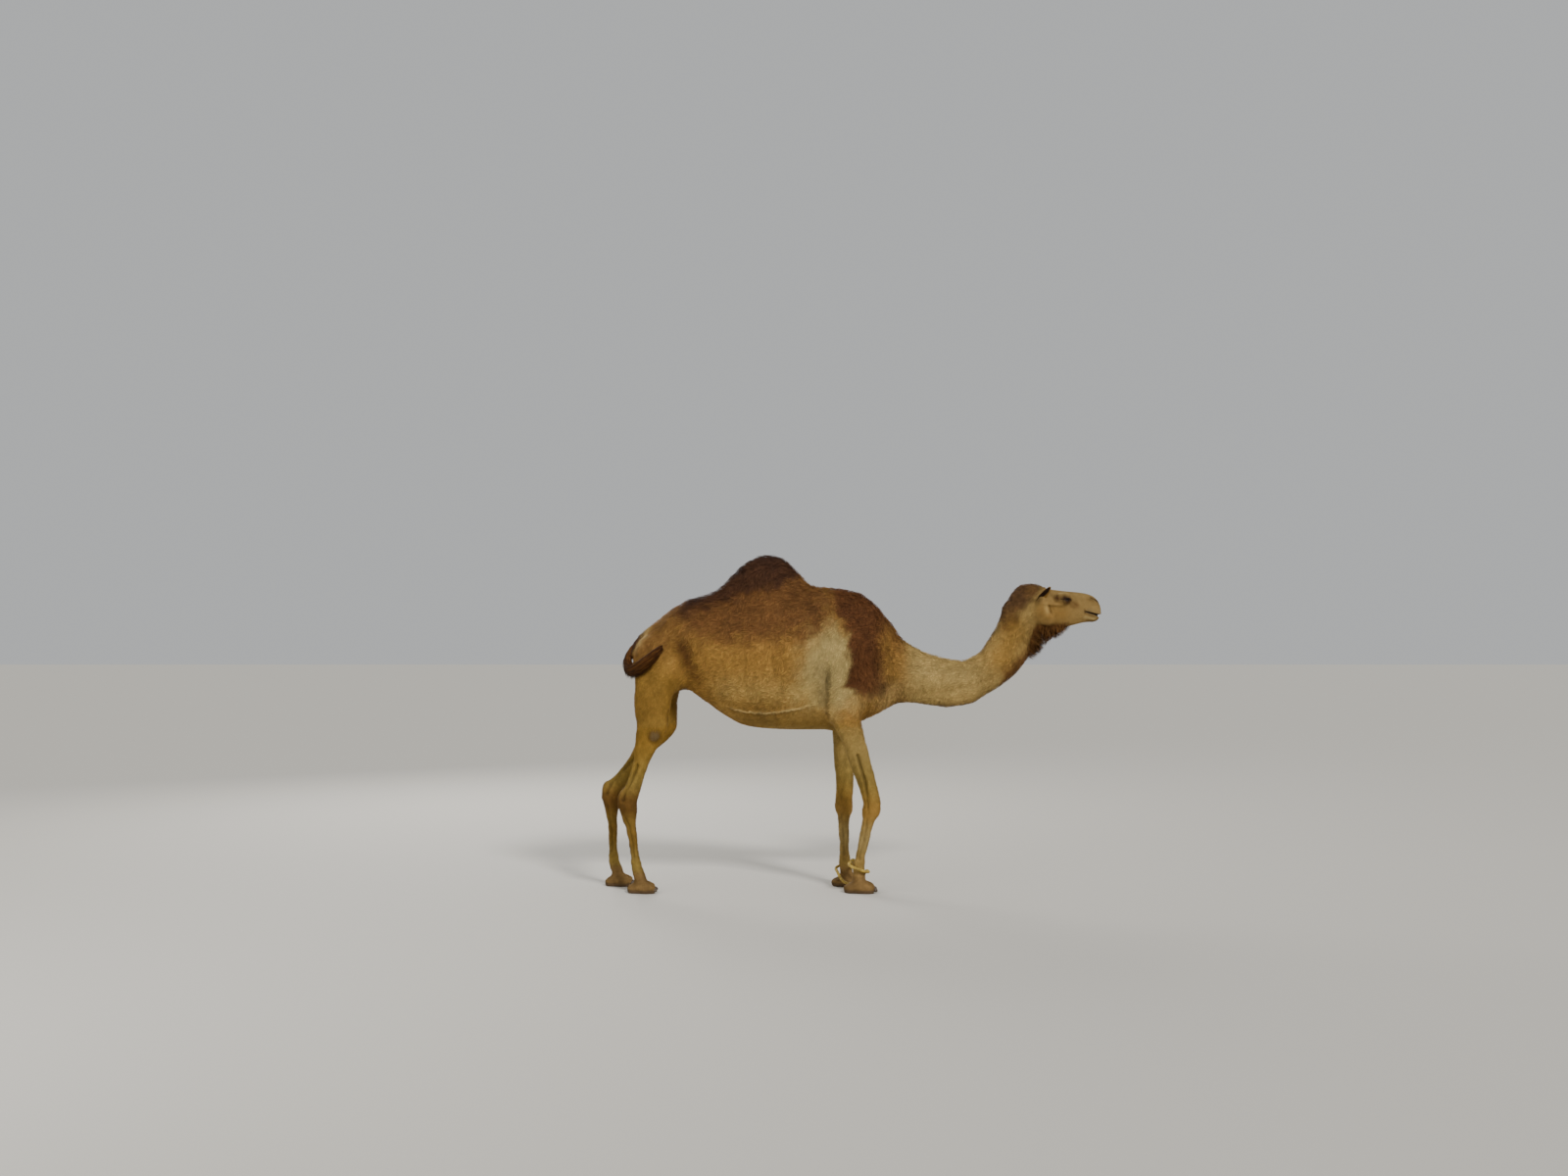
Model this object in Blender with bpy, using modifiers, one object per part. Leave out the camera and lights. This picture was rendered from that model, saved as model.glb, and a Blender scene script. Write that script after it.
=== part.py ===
"""A life-size standing dromedary, a light-built cow with hobbled forelegs.

The animal faces +X, its right side is at -Y, and it stands on Z = 0. The body is modelled whole, as
lofted masses fused by a voxel remesh, and then parted into its nodes by thin cuts.
"""

import math

import bmesh
import bpy
from mathutils import Matrix, Vector

# Driving dimensions, in metres.
CUT = 0.0006  # width of the thin cuts that part the body
MOUTH_GAP = 0.001  # between the upper and the lower jaw
MOUTH_REACH = 0.15  # half the width of the cutter that opens it
GAP = 0.0005  # clearance between a piece and the pocket or surface that carries it
BODY_VOXEL = 0.011
HEAD_VOXEL = 0.0045
BEARD_VOXEL = 0.006
TAIL_VOXEL = 0.006
BODY_TRIANGLES = 2920
HEAD_TRIANGLES = 1160
BEARD_TRIANGLES = 150
TAIL_TRIANGLES = 190
RING = 32  # points round each lofted section
STEPS = 3  # sections made between each named section and the next
BODY_SMOOTHING = 40  # rounds of smoothing after the remesh
HEAD_SMOOTHING = 12
WOOL_SMOOTHING = 2  # for the beard and the tail
HUMP_TOP = 2.0  # height of the hump's crest
EYE_RADIUS = 0.0205
ROPE_RADIUS = 0.0085
EAR_LENGTH = 0.122
EAR_HALF_WIDTH = 0.027
EAR_THICKNESS = 0.006
HIND_FOOT = 0.9  # a hind foot's size as a share of a forefoot's
NAIL_RADII = (0.019, 0.0145, 0.0125)
NAIL_REACH = 0.094  # from the ball of a forefoot to the middle of its nails
NAIL_SPREAD = 0.040  # from the foot's middle line to the middle of a nail
NAIL_HEIGHT = 0.020
NAIL_LEAN = 0.42
LEG_THINNING = 0.9  # how strongly the legs are thinned, as a share of the trunk
FACE_THINNING = 0.3  # the same for the face, as a share of the neck
LEG_SOFTNESS = 0.12  # the share of the smoothing that the legs and the neck take

SIDES = {"right": -1.0, "left": 1.0}

# Trunk sections from the buttocks to the base of the neck: the spine's x and z, the underside's x and z,
# the half width, and how far up the section its widest line lies.
TRUNK = (
    (-1.276, 1.405, -1.288, 1.330, 0.030, 0.5),
    (-1.250, 1.470, -1.284, 1.262, 0.082, 0.5),
    (-1.208, 1.535, -1.252, 1.215, 0.125, 0.5),
    (-1.150, 1.612, -1.180, 1.196, 0.160, 0.52),
    (-1.080, 1.676, -1.090, 1.196, 0.184, 0.56),
    (-0.985, 1.720, -0.995, 1.200, 0.198, 0.56),
    (-0.875, 1.750, -0.890, 1.128, 0.216, 0.50),
    (-0.765, 1.772, -0.780, 1.044, 0.242, 0.46),
    (-0.640, 1.784, -0.655, 0.977, 0.265, 0.44),
    (-0.500, 1.790, -0.510, 0.955, 0.276, 0.44),
    (-0.360, 1.796, -0.360, 0.949, 0.268, 0.46),
    (-0.220, 1.806, -0.220, 0.948, 0.244, 0.50),
    (-0.100, 1.802, -0.100, 0.952, 0.216, 0.52),
    (0.010, 1.780, 0.000, 0.974, 0.194, 0.52),
    (0.105, 1.724, 0.095, 1.018, 0.170, 0.50),
    (0.195, 1.624, 0.180, 1.054, 0.142, 0.46),
    (0.285, 1.512, 0.262, 1.100, 0.108, 0.46),
)

# Neck sections from its base to the nape: the upper side's x and z, the throat side's x and z, and the
# half width and widest line as above.
NECK = (
    (0.385, 1.441, 0.365, 1.102, 0.088, 0.46),
    (0.500, 1.392, 0.485, 1.085, 0.079, 0.46),
    (0.605, 1.371, 0.595, 1.079, 0.075, 0.46),
    (0.692, 1.376, 0.703, 1.098, 0.073, 0.48),
    (0.753, 1.408, 0.808, 1.155, 0.071, 0.50),
    (0.799, 1.466, 0.903, 1.219, 0.069, 0.50),
    (0.836, 1.530, 0.984, 1.291, 0.067, 0.50),
    (0.869, 1.592, 1.036, 1.358, 0.065, 0.50),
    (0.894, 1.655, 1.062, 1.440, 0.063, 0.50),
    (0.934, 1.722, 1.088, 1.515, 0.062, 0.50),
    (0.990, 1.775, 1.108, 1.565, 0.060, 0.50),
    (1.060, 1.795, 1.130, 1.580, 0.052, 0.50),
)

# Head sections from the occiput to the lips: the forehead side's x and z, the jaw side's x and z, and
# the half width and widest line.
HEAD = (
    (0.985, 1.745, 1.035, 1.610, 0.042, 0.5),
    (1.030, 1.784, 1.065, 1.572, 0.058, 0.5),
    (1.090, 1.795, 1.110, 1.558, 0.066, 0.5),
    (1.150, 1.788, 1.165, 1.555, 0.070, 0.52),
    (1.210, 1.779, 1.217, 1.556, 0.068, 0.58),
    (1.270, 1.772, 1.270, 1.561, 0.058, 0.60),
    (1.330, 1.767, 1.325, 1.573, 0.048, 0.55),
    (1.385, 1.760, 1.372, 1.585, 0.043, 0.50),
    (1.430, 1.745, 1.418, 1.590, 0.042, 0.46),
    (1.462, 1.716, 1.452, 1.600, 0.036, 0.42),
    (1.480, 1.678, 1.476, 1.622, 0.022, 0.40),
)

# Seams across the neck and behind the jaw: a point of each and the way it faces.
NECK_SEAM = (Vector((0.735, 0.0, 1.260)), Vector((0.86, 0.0, 0.51)))
HEAD_SEAM = (Vector((1.045, 0.0, 1.670)), Vector((0.93, 0.0, 0.36)))

# The left eye and ear, and the mouth's line in the side view, from before the lips to behind the jaw.
EYE = Vector((1.264, 0.0790, 1.7195))
EAR_ROOT = Vector((1.098, 0.058, 1.722))
EAR_TIP = Vector((1.176, 0.112, 1.810))
MOUTH = ((1.520, 1.608), (1.478, 1.628), (1.384, 1.660), (1.290, 1.650), (1.160, 1.612), (1.070, 1.520))

# Hump sections from the loin to the withers: x, the crest's height there, and the half width.
HUMP = (
    (-0.900, 1.745, 0.040),
    (-0.820, 1.790, 0.082),
    (-0.745, 1.848, 0.110),
    (-0.665, 1.936, 0.128),
    (-0.590, 1.982, 0.137),
    (-0.525, HUMP_TOP, 0.140),
    (-0.450, 1.990, 0.137),
    (-0.385, 1.950, 0.128),
    (-0.320, 1.878, 0.108),
    (-0.260, 1.828, 0.080),
    (-0.200, 1.800, 0.045),
)
HUMP_FLOOR = 1.46  # the hump's sections end inside the trunk at this height

# Joint centres of the legs as (x, y outwards, z), from the body down to the ball of the foot.
FORE_JOINTS = {
    "right": (
        (0.050, 0.120, 1.300),  # shoulder
        (-0.038, 0.158, 1.030),  # elbow
        (0.108, 0.142, 0.520),  # knee
        (0.032, 0.122, 0.148),  # fetlock
        (0.030, 0.122, 0.052),  # ball
    ),
    "left": (
        (0.050, 0.120, 1.300),
        (-0.042, 0.158, 1.030),
        (-0.049, 0.142, 0.502),
        (-0.040, 0.122, 0.145),
        (-0.034, 0.122, 0.052),
    ),
}
HIND_JOINTS = {
    "right": (
        (-1.165, 0.110, 1.420),  # hip
        (-1.172, 0.150, 0.990),  # stifle
        (-1.325, 0.128, 0.545),  # hock
        (-1.272, 0.128, 0.148),  # fetlock
        (-1.250, 0.130, 0.050),  # ball
    ),
    "left": (
        (-1.160, 0.110, 1.420),
        (-1.140, 0.150, 0.970),
        (-1.445, 0.128, 0.575),
        (-1.432, 0.128, 0.148),
        (-1.408, 0.130, 0.050),
    ),
}

# Leg sections: bone number, place along it, reach to the front, reach to the rear, half width.
FORE_SECTIONS = (
    (0, 0.10, 0.070, 0.070, 0.050),
    (0, 0.60, 0.092, 0.095, 0.062),
    (1, 0.00, 0.086, 0.100, 0.062),
    (1, 0.16, 0.075, 0.080, 0.058),
    (1, 0.34, 0.067, 0.067, 0.053),
    (1, 0.56, 0.060, 0.058, 0.047),
    (1, 0.78, 0.060, 0.049, 0.045),
    (1, 0.93, 0.058, 0.049, 0.049),
    (2, 0.00, 0.054, 0.051, 0.051),
    (2, 0.12, 0.049, 0.045, 0.048),
    (2, 0.24, 0.039, 0.038, 0.039),
    (2, 0.42, 0.033, 0.035, 0.031),
    (2, 0.64, 0.029, 0.033, 0.029),
    (2, 0.84, 0.026, 0.032, 0.032),
    (2, 1.00, 0.034, 0.036, 0.041),
    (3, 0.45, 0.040, 0.034, 0.044),
    (3, 1.00, 0.046, 0.040, 0.050),
)
HIND_SECTIONS = (
    (0, 0.00, 0.100, 0.090, 0.060),
    (0, 0.28, 0.130, 0.122, 0.084),
    (0, 0.55, 0.112, 0.126, 0.082),
    (0, 0.82, 0.094, 0.123, 0.074),
    (1, 0.00, 0.088, 0.108, 0.067),
    (1, 0.14, 0.079, 0.090, 0.060),
    (1, 0.30, 0.060, 0.071, 0.051),
    (1, 0.50, 0.048, 0.047, 0.042),
    (1, 0.70, 0.048, 0.039, 0.037),
    (1, 0.86, 0.054, 0.045, 0.038),
    (2, 0.00, 0.056, 0.062, 0.042),
    (2, 0.12, 0.048, 0.062, 0.040),
    (2, 0.26, 0.038, 0.050, 0.034),
    (2, 0.42, 0.030, 0.037, 0.028),
    (2, 0.62, 0.026, 0.031, 0.026),
    (2, 0.84, 0.023, 0.029, 0.028),
    (2, 1.00, 0.030, 0.033, 0.037),
    (3, 0.45, 0.037, 0.032, 0.040),
    (3, 1.00, 0.042, 0.037, 0.045),
)

# The tail hangs from the croup, turns outwards round the right buttock and ends in a tuft.
# Each point is x, y, z and the radius.
TAIL = (
    (-1.160, 0.000, 1.572, 0.030),
    (-1.222, 0.000, 1.528, 0.027),
    (-1.275, -0.002, 1.479, 0.023),
    (-1.313, -0.008, 1.429, 0.022),
    (-1.334, -0.024, 1.374, 0.028),
    (-1.332, -0.074, 1.322, 0.036),
    (-1.306, -0.140, 1.296, 0.043),
    (-1.255, -0.200, 1.324, 0.043),
    (-1.200, -0.236, 1.368, 0.036),
    (-1.150, -0.248, 1.415, 0.024),
    (-1.122, -0.250, 1.444, 0.010),
)
TUFT_START = 4  # the tail's point where the tuft begins

# Hair that hangs from the jaw and the throat: the skin side's x and z, the hanging edge's x and z, the
# half width and the widest line.
BEARD = (
    (1.005, 1.400, 1.016, 1.345, 0.018, 0.62),
    (1.035, 1.465, 1.066, 1.350, 0.036, 0.62),
    (1.058, 1.520, 1.116, 1.382, 0.044, 0.62),
    (1.085, 1.565, 1.151, 1.434, 0.046, 0.62),
    (1.120, 1.590, 1.192, 1.477, 0.044, 0.62),
    (1.175, 1.600, 1.232, 1.486, 0.038, 0.62),
    (1.235, 1.600, 1.270, 1.515, 0.030, 0.62),
    (1.290, 1.605, 1.302, 1.560, 0.014, 0.62),
)

# The hobble's route: round the right pastern, across, round the left one, and back in a slack bight.
HOBBLE = (
    (0.078, -0.081, 0.121),
    (0.088, -0.122, 0.121),
    (0.072, -0.168, 0.128),
    (0.031, -0.181, 0.142),
    (-0.012, -0.166, 0.157),
    (-0.027, -0.122, 0.166),
    (-0.014, -0.076, 0.168),
    (0.000, -0.025, 0.163),
    (0.012, 0.025, 0.153),
    (0.020, 0.078, 0.143),
    (0.019, 0.122, 0.136),
    (0.004, 0.166, 0.128),
    (-0.038, 0.181, 0.119),
    (-0.080, 0.166, 0.110),
    (-0.096, 0.122, 0.102),
    (-0.088, 0.076, 0.090),
    (-0.072, 0.030, 0.062),
    (-0.045, -0.005, 0.040),
    (-0.002, -0.030, 0.036),
    (0.036, -0.041, 0.055),
    (0.061, -0.055, 0.090),
)

SKIN = (0.52, 0.38, 0.20)
DARK_HAIR = (0.10, 0.06, 0.03)
HORN = (0.16, 0.12, 0.09)
ROPE_YELLOW = (0.62, 0.50, 0.12)


def clear_scene():
    for obj in list(bpy.data.objects):
        bpy.data.objects.remove(obj, do_unlink=True)


def make_material(name, colour, roughness, metallic=0.0):
    material = bpy.data.materials.new(name)
    material.use_nodes = True
    shader = material.node_tree.nodes["Principled BSDF"]
    shader.inputs["Base Color"].default_value = (*colour, 1.0)
    shader.inputs["Roughness"].default_value = roughness
    shader.inputs["Metallic"].default_value = metallic
    return material


def make_object(name, mesh, collection):
    obj = bpy.data.objects.new(name, mesh)
    collection.objects.link(obj)
    return obj


def rounded(angle, exponent):
    """A point of the unit superellipse, squarer than a circle for exponents over 2."""
    c, s = math.cos(angle), math.sin(angle)
    power = 2.0 / exponent
    return math.copysign(abs(c) ** power, c), math.copysign(abs(s) ** power, s)


def between(before, start, end, after, t):
    """The Catmull-Rom value a share t of the way from start to end."""
    slope = end - before
    bend = 2 * before - 5 * start + 4 * end - after
    twist = 3 * start - before - 3 * end + after
    return start + (slope * t + bend * t**2 + twist * t**3) / 2


def through(stations, steps=STEPS, closed=False):
    """Stations on a smooth curve through the named ones."""
    last = len(stations) - 1
    smooth = []
    for k in range(last + closed):
        around = [(k + i) % (last + 1) if closed else min(max(k + i, 0), last) for i in (-1, 0, 1, 2)]
        rows = [stations[i] for i in around]
        for step in range(steps):
            t = step / steps
            smooth.append(tuple(between(a, b, c, d, t) for a, b, c, d in zip(*rows)))
    return smooth if closed else smooth + [tuple(stations[-1])]


def section_ring(station, upper=1.9, lower=2.2):
    """Points round a section between two side-view points, rounder or squarer above and below."""
    top_x, top_z, bottom_x, bottom_z, half_width, widest = station
    top, bottom = Vector((top_x, 0.0, top_z)), Vector((bottom_x, 0.0, bottom_z))
    middle = bottom.lerp(top, widest)
    ring = []
    for k in range(RING):
        angle = 2 * math.pi * k / RING
        across, up = rounded(angle, upper if math.sin(angle) >= 0 else lower)
        reach = (top - middle) if up >= 0 else (middle - bottom)
        ring.append(middle + reach * up + Vector((0.0, half_width * across, 0.0)))
    return ring


def lofted(stations, upper=1.9, lower=2.2):
    bm = bmesh.new()
    loft(bm, [section_ring(station, upper, lower) for station in through(stations)])
    return bm


def loft(bm, rings):
    """Joins the rings into one closed skin, with a fan of faces on each end."""
    rows = [[bm.verts.new(point) for point in ring] for ring in rings]
    for first, second in zip(rows, rows[1:]):
        for k in range(RING):
            after = (k + 1) % RING
            bm.faces.new((first[k], first[after], second[after], second[k]))
    for row in (rows[0], rows[-1]):
        centre = bm.verts.new(sum((v.co for v in row), Vector()) / RING)
        for k in range(RING):
            bm.faces.new((row[k], row[(k + 1) % RING], centre))


def mass(bm, centre, radii, lean=0.0, roll=0.0):
    """An egg-shaped muscle or pad, leaned in the side view and rolled in the front view."""
    turn = Matrix.Rotation(lean, 4, "Y") @ Matrix.Rotation(roll, 4, "X")
    place = Matrix.Translation(centre) @ turn @ Matrix.Diagonal((*radii, 1.0))
    bmesh.ops.create_uvsphere(bm, u_segments=20, v_segments=12, radius=1.0, matrix=place)


def paired_mass(bm, centre, radii, lean=0.0, roll=0.0):
    for side in SIDES.values():
        x, y, z = centre
        mass(bm, (x, side * y, z), radii, lean, side * roll)


def leg_frame(joints, bone, along):
    """Centre of a leg section, and the direction that faces forwards across it."""
    start, end = joints[bone], joints[bone + 1]
    heading = (end - start).normalized()
    if along < 0.12 and bone > 0:
        heading = (heading + (start - joints[bone - 1]).normalized()).normalized()
    if along > 0.88 and bone + 2 < len(joints):
        heading = (heading + (joints[bone + 2] - end).normalized()).normalized()
    return start.lerp(end, along), Vector((-heading.z, 0.0, heading.x)).normalized()


def side_joints(joints, side):
    return [Vector((x, SIDES[side] * y, z)) for x, y, z in joints[side]]


def add_leg(bm, joints, sections):
    stations = []
    for bone, along, front, rear, half_width in sections:
        centre, forwards = leg_frame(joints, bone, along)
        stations.append((*centre, *forwards, front, rear, half_width))
    rings = []
    for x, y, z, forwards_x, _, forwards_z, front, rear, half_width in through(stations):
        centre, forwards = Vector((x, y, z)), Vector((forwards_x, 0.0, forwards_z)).normalized()
        ring = []
        for k in range(RING):
            across, fore = rounded(2 * math.pi * k / RING, 2.1)
            reach = fore * (front + rear) / 2 + (front - rear) / 2
            ring.append(centre + forwards * reach + Vector((0.0, half_width * across, 0.0)))
        rings.append(ring)
    loft(bm, rings)


def add_foot(bm, ball, scale):
    """Two splayed toes and the soft heel pad behind them."""
    x, y, _ = ball
    for toe in (-1.0, 1.0):
        centre = (x + 0.030 * scale, y + toe * 0.037 * scale, 0.024)
        mass(bm, centre, (0.078 * scale, 0.040 * scale, 0.040), lean=0.16)
    mass(bm, (x - 0.036 * scale, y, 0.018), (0.060 * scale, 0.062 * scale, 0.036))


def add_tail(bm):
    stations = through(TAIL)
    points = [Vector(station[:3]) for station in stations]
    rings = []
    for k, (point, station) in enumerate(zip(points, stations)):
        before, after = points[max(k - 1, 0)], points[min(k + 1, len(points) - 1)]
        heading = (after - before).normalized()
        side = heading.cross(Vector((0.55, 0.0, 0.83))).normalized()
        up = side.cross(heading)
        turns = [2 * math.pi * i / RING for i in range(RING)]
        rings.append([point + (side * math.cos(a) + up * math.sin(a)) * station[3] for a in turns])
    loft(bm, rings)


def fuse(name, masses, voxel, smoothing, collection, softness=None):
    """Makes the overlapping masses one closed skin by a voxel remesh, then smooths it.

    Softness gives, for a point, the share of the smoothing that its neighbourhood takes.
    """
    joined = bmesh.new()
    for mesh in masses:
        bmesh.ops.recalc_face_normals(mesh, faces=mesh.faces)
        part = bpy.data.meshes.new("mass")
        mesh.to_mesh(part)
        joined.from_mesh(part)
        mesh.free()
        bpy.data.meshes.remove(part)
    mesh = bpy.data.meshes.new(name)
    joined.to_mesh(mesh)
    joined.free()
    obj = make_object(name, mesh, collection)
    remesh = obj.modifiers.new("fuse", "REMESH")
    remesh.mode = "VOXEL"
    remesh.voxel_size = voxel
    bake_modifiers(obj)
    smooth = obj.modifiers.new("soften", "SMOOTH")
    smooth.factor = 0.5
    smooth.iterations = smoothing
    if softness:
        mark_vertices(obj, "soft", softness)
        smooth.vertex_group = "soft"
    bake_modifiers(obj)
    obj.vertex_groups.clear()
    return obj


def mark_vertices(obj, name, weight):
    """A vertex group whose weights are a function of the vertices' places."""
    group = obj.vertex_groups.new(name=name)
    for vertex in obj.data.vertices:
        group.add([vertex.index], weight(vertex.co), "REPLACE")


def bake_modifiers(obj):
    """Replaces the object's mesh by what its modifiers make of it."""
    graph = bpy.context.evaluated_depsgraph_get()
    graph.update()
    mesh = bpy.data.meshes.new_from_object(obj.evaluated_get(graph))
    mesh.name = obj.name
    obj.modifiers.clear()
    obj.data = mesh


def keep_side(obj, point, normal):
    """Cuts the object by a plane, keeps what the normal points away from, and closes the cut flat."""
    bm = bmesh.new()
    bm.from_mesh(obj.data)
    geometry = bm.verts[:] + bm.edges[:] + bm.faces[:]
    bmesh.ops.bisect_plane(
        bm, geom=geometry, dist=1e-7, plane_co=point, plane_no=normal, clear_outer=True
    )
    edges = [e for e in bm.edges if e.is_boundary]
    made = bmesh.ops.holes_fill(bm, edges=edges, sides=0)
    bmesh.ops.triangulate(bm, faces=made["faces"])
    bmesh.ops.recalc_face_normals(bm, faces=bm.faces)
    bm.to_mesh(obj.data)
    bm.free()


def thin_out(obj, triangles, weights=None):
    """Collapses the mesh to about that many triangles; weights marks the vertices to thin most."""
    obj.data.calc_loop_triangles()
    decimate = obj.modifiers.new("thin out", "DECIMATE")
    decimate.ratio = triangles / len(obj.data.loop_triangles)
    if weights:
        mark_vertices(obj, "thin", weights)
        decimate.vertex_group = "thin"
        decimate.vertex_group_factor = 1.0
    bake_modifiers(obj)
    obj.vertex_groups.clear()


def slab(bm, point, normal, radius, thickness=CUT):
    """A thin round cutter through a point."""
    turn = Vector((0.0, 0.0, 1.0)).rotation_difference(Vector(normal).normalized()).to_matrix().to_4x4()
    bmesh.ops.create_cone(
        bm, cap_ends=True, segments=24, radius1=radius, radius2=radius, depth=thickness,
        matrix=Matrix.Translation(point) @ turn,
    )


def helper(name, bm, collection):
    """A cutter object from a bmesh, hidden from renders."""
    bmesh.ops.recalc_face_normals(bm, faces=bm.faces)
    mesh = bpy.data.meshes.new(name)
    bm.to_mesh(mesh)
    bm.free()
    obj = make_object(name, mesh, collection)
    obj.hide_render = True
    obj.display_type = "WIRE"
    return obj


def combine(obj, other, operation, folded=False):
    """A Boolean; folded says that the other mesh may cross itself, as a swollen copy can."""
    boolean = obj.modifiers.new(operation.lower(), "BOOLEAN")
    boolean.operation = operation
    boolean.object = other
    boolean.solver = "EXACT"
    boolean.use_self = folded
    bake_modifiers(obj)


def grown(obj, distance, collection):
    """A helper copy of the object, swollen by that distance along its normals."""
    bm = bmesh.new()
    bm.from_mesh(obj.data)
    for vertex in bm.verts:
        vertex.co += vertex.normal * distance
    return helper(obj.name + "_grown", bm, collection)


def face_islands(bm):
    """The mesh's separate bodies as sets of faces, the smallest first."""
    unseen = set(bm.faces)
    islands = []
    while unseen:
        stack = [unseen.pop()]
        island = set(stack)
        while stack:
            for edge in stack.pop().edges:
                for face in edge.link_faces:
                    if face in unseen:
                        unseen.remove(face)
                        island.add(face)
                        stack.append(face)
        islands.append(island)
    return sorted(islands, key=len)


def loose_parts(obj, labels, collection):
    """Splits the object into its bodies, named by the nearest label; a cut's crumbs are dropped."""
    bm = bmesh.new()
    bm.from_mesh(obj.data)
    named = {}
    for island in face_islands(bm):
        corners = sorted({v for f in island for v in f.verts}, key=lambda v: v.index)
        low = Vector([min(v.co[i] for v in corners) for i in range(3)])
        high = Vector([max(v.co[i] for v in corners) for i in range(3)])
        middle = (low + high) / 2
        nearest = min(labels, key=lambda label: (Vector(labels[label]) - middle).length)
        named[nearest] = (island, corners)
    parts = {}
    for name, (island, corners) in named.items():
        index = {v: k for k, v in enumerate(corners)}
        mesh = bpy.data.meshes.new(name)
        faces = [[index[v] for v in f.verts] for f in sorted(island, key=lambda f: f.index)]
        mesh.from_pydata([v.co[:] for v in corners], [], faces)
        parts[name] = make_object(name, mesh, collection)
    bm.free()
    bpy.data.objects.remove(obj)
    return parts


def finish(obj, material, crease_degrees=50.0):
    obj.data.materials.clear()
    obj.data.materials.append(material)
    obj.data.shade_smooth()
    obj.data.set_sharp_from_angle(angle=math.radians(crease_degrees))


# --- the trunk, legs, lower neck and tail -------------------------------------------------------


def trunk_masses():
    return lofted(TRUNK + NECK[:8], upper=1.8)


def hump_mass():
    """The hump, with a crest narrower than its base."""
    bm = bmesh.new()
    rings = [
        section_ring((x, crest, x, HUMP_FLOOR, width, 0.36), upper=1.75)
        for x, crest, width in through(HUMP)
    ]
    loft(bm, rings)
    return bm


def muscle_masses():
    bm = bmesh.new()
    paired_mass(bm, (-0.020, 0.092, 1.500), (0.105, 0.092, 0.250), lean=-0.36, roll=0.16)  # shoulder blade
    paired_mass(bm, (0.060, 0.104, 1.235), (0.110, 0.082, 0.155), lean=0.25)  # upper arm
    paired_mass(bm, (-0.065, 0.140, 1.140), (0.110, 0.060, 0.135), lean=-0.55)  # triceps
    paired_mass(bm, (-0.105, 0.162, 1.045), (0.050, 0.040, 0.058), lean=-0.4)  # elbow
    paired_mass(bm, (-1.010, 0.092, 1.560), (0.140, 0.082, 0.100), lean=-0.35)  # hip bone
    paired_mass(bm, (-1.245, 0.082, 1.385), (0.062, 0.068, 0.130), lean=0.2)  # buttock
    paired_mass(bm, (-1.130, 0.110, 1.330), (0.150, 0.088, 0.190), lean=-0.1)  # thigh muscle
    mass(bm, (-0.085, 0.0, 0.978), (0.105, 0.085, 0.040))  # breast pad
    mass(bm, (0.085, 0.0, 1.078), (0.090, 0.095, 0.065), lean=-0.5)  # brisket
    mass(bm, (-1.035, 0.0, 1.212), (0.068, 0.055, 0.040), lean=-0.3)  # udder
    return bm


def leg_masses(joints_of, sections, foot_scale):
    bm = bmesh.new()
    for side in SIDES:
        joints = side_joints(joints_of, side)
        add_leg(bm, joints, sections)
        add_foot(bm, joints[-1], foot_scale)
    return bm


def joint_masses():
    """Knee pads, stifle pads, points of the hocks and the bulbs of the fetlocks."""
    bm = bmesh.new()
    for side in SIDES:
        _, _, knee, fetlock, _ = side_joints(FORE_JOINTS, side)
        mass(bm, knee + Vector((0.022, 0.0, -0.004)), (0.030, 0.040, 0.056))
        mass(bm, fetlock + Vector((-0.012, 0.0, 0.0)), (0.030, 0.036, 0.030))
        _, stifle, hock, fetlock, _ = side_joints(HIND_JOINTS, side)
        mass(bm, stifle + Vector((0.052, 0.0, 0.010)), (0.038, 0.046, 0.055))
        mass(bm, hock + Vector((-0.042, 0.0, 0.012)), (0.022, 0.024, 0.052), lean=0.25)
        mass(bm, fetlock + Vector((-0.010, 0.0, 0.0)), (0.028, 0.033, 0.028))
    return bm


def soft_share(co):
    """The trunk and shoulders are softened in full, the legs and the neck only a little."""
    rise = min(max((co.z - 0.93) / 0.14, 0.0), 1.0)
    back = min(max((0.42 - co.x) / 0.20, 0.0), 1.0)
    return LEG_SOFTNESS + (1.0 - LEG_SOFTNESS) * rise * back


def thin_share(co):
    """How strongly the body's mesh may be thinned: less on the legs and the tail than on the trunk."""
    return LEG_THINNING if co.z < 0.98 else 1.0


def body_labels():
    labels = {
        "trunk": (-0.50, 0.0, 1.38),
        "hump": (-0.55, 0.0, 1.90),
        "neck_lower": (0.52, 0.0, 1.28),
    }
    names = (
        ("fore", FORE_JOINTS, (None, "forearm", "cannon", "foot")),
        ("hind", HIND_JOINTS, ("thigh", "gaskin", "cannon", "foot")),
    )
    for end, joints_of, bones in names:
        for side in SIDES:
            joints = side_joints(joints_of, side)
            for k, bone in enumerate(bones):
                if bone:
                    share = 0.75 if bone == "thigh" else 0.5
                    labels[f"{end}_{side}_{bone}"] = joints[k].lerp(joints[k + 1], share)
    return labels


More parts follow.
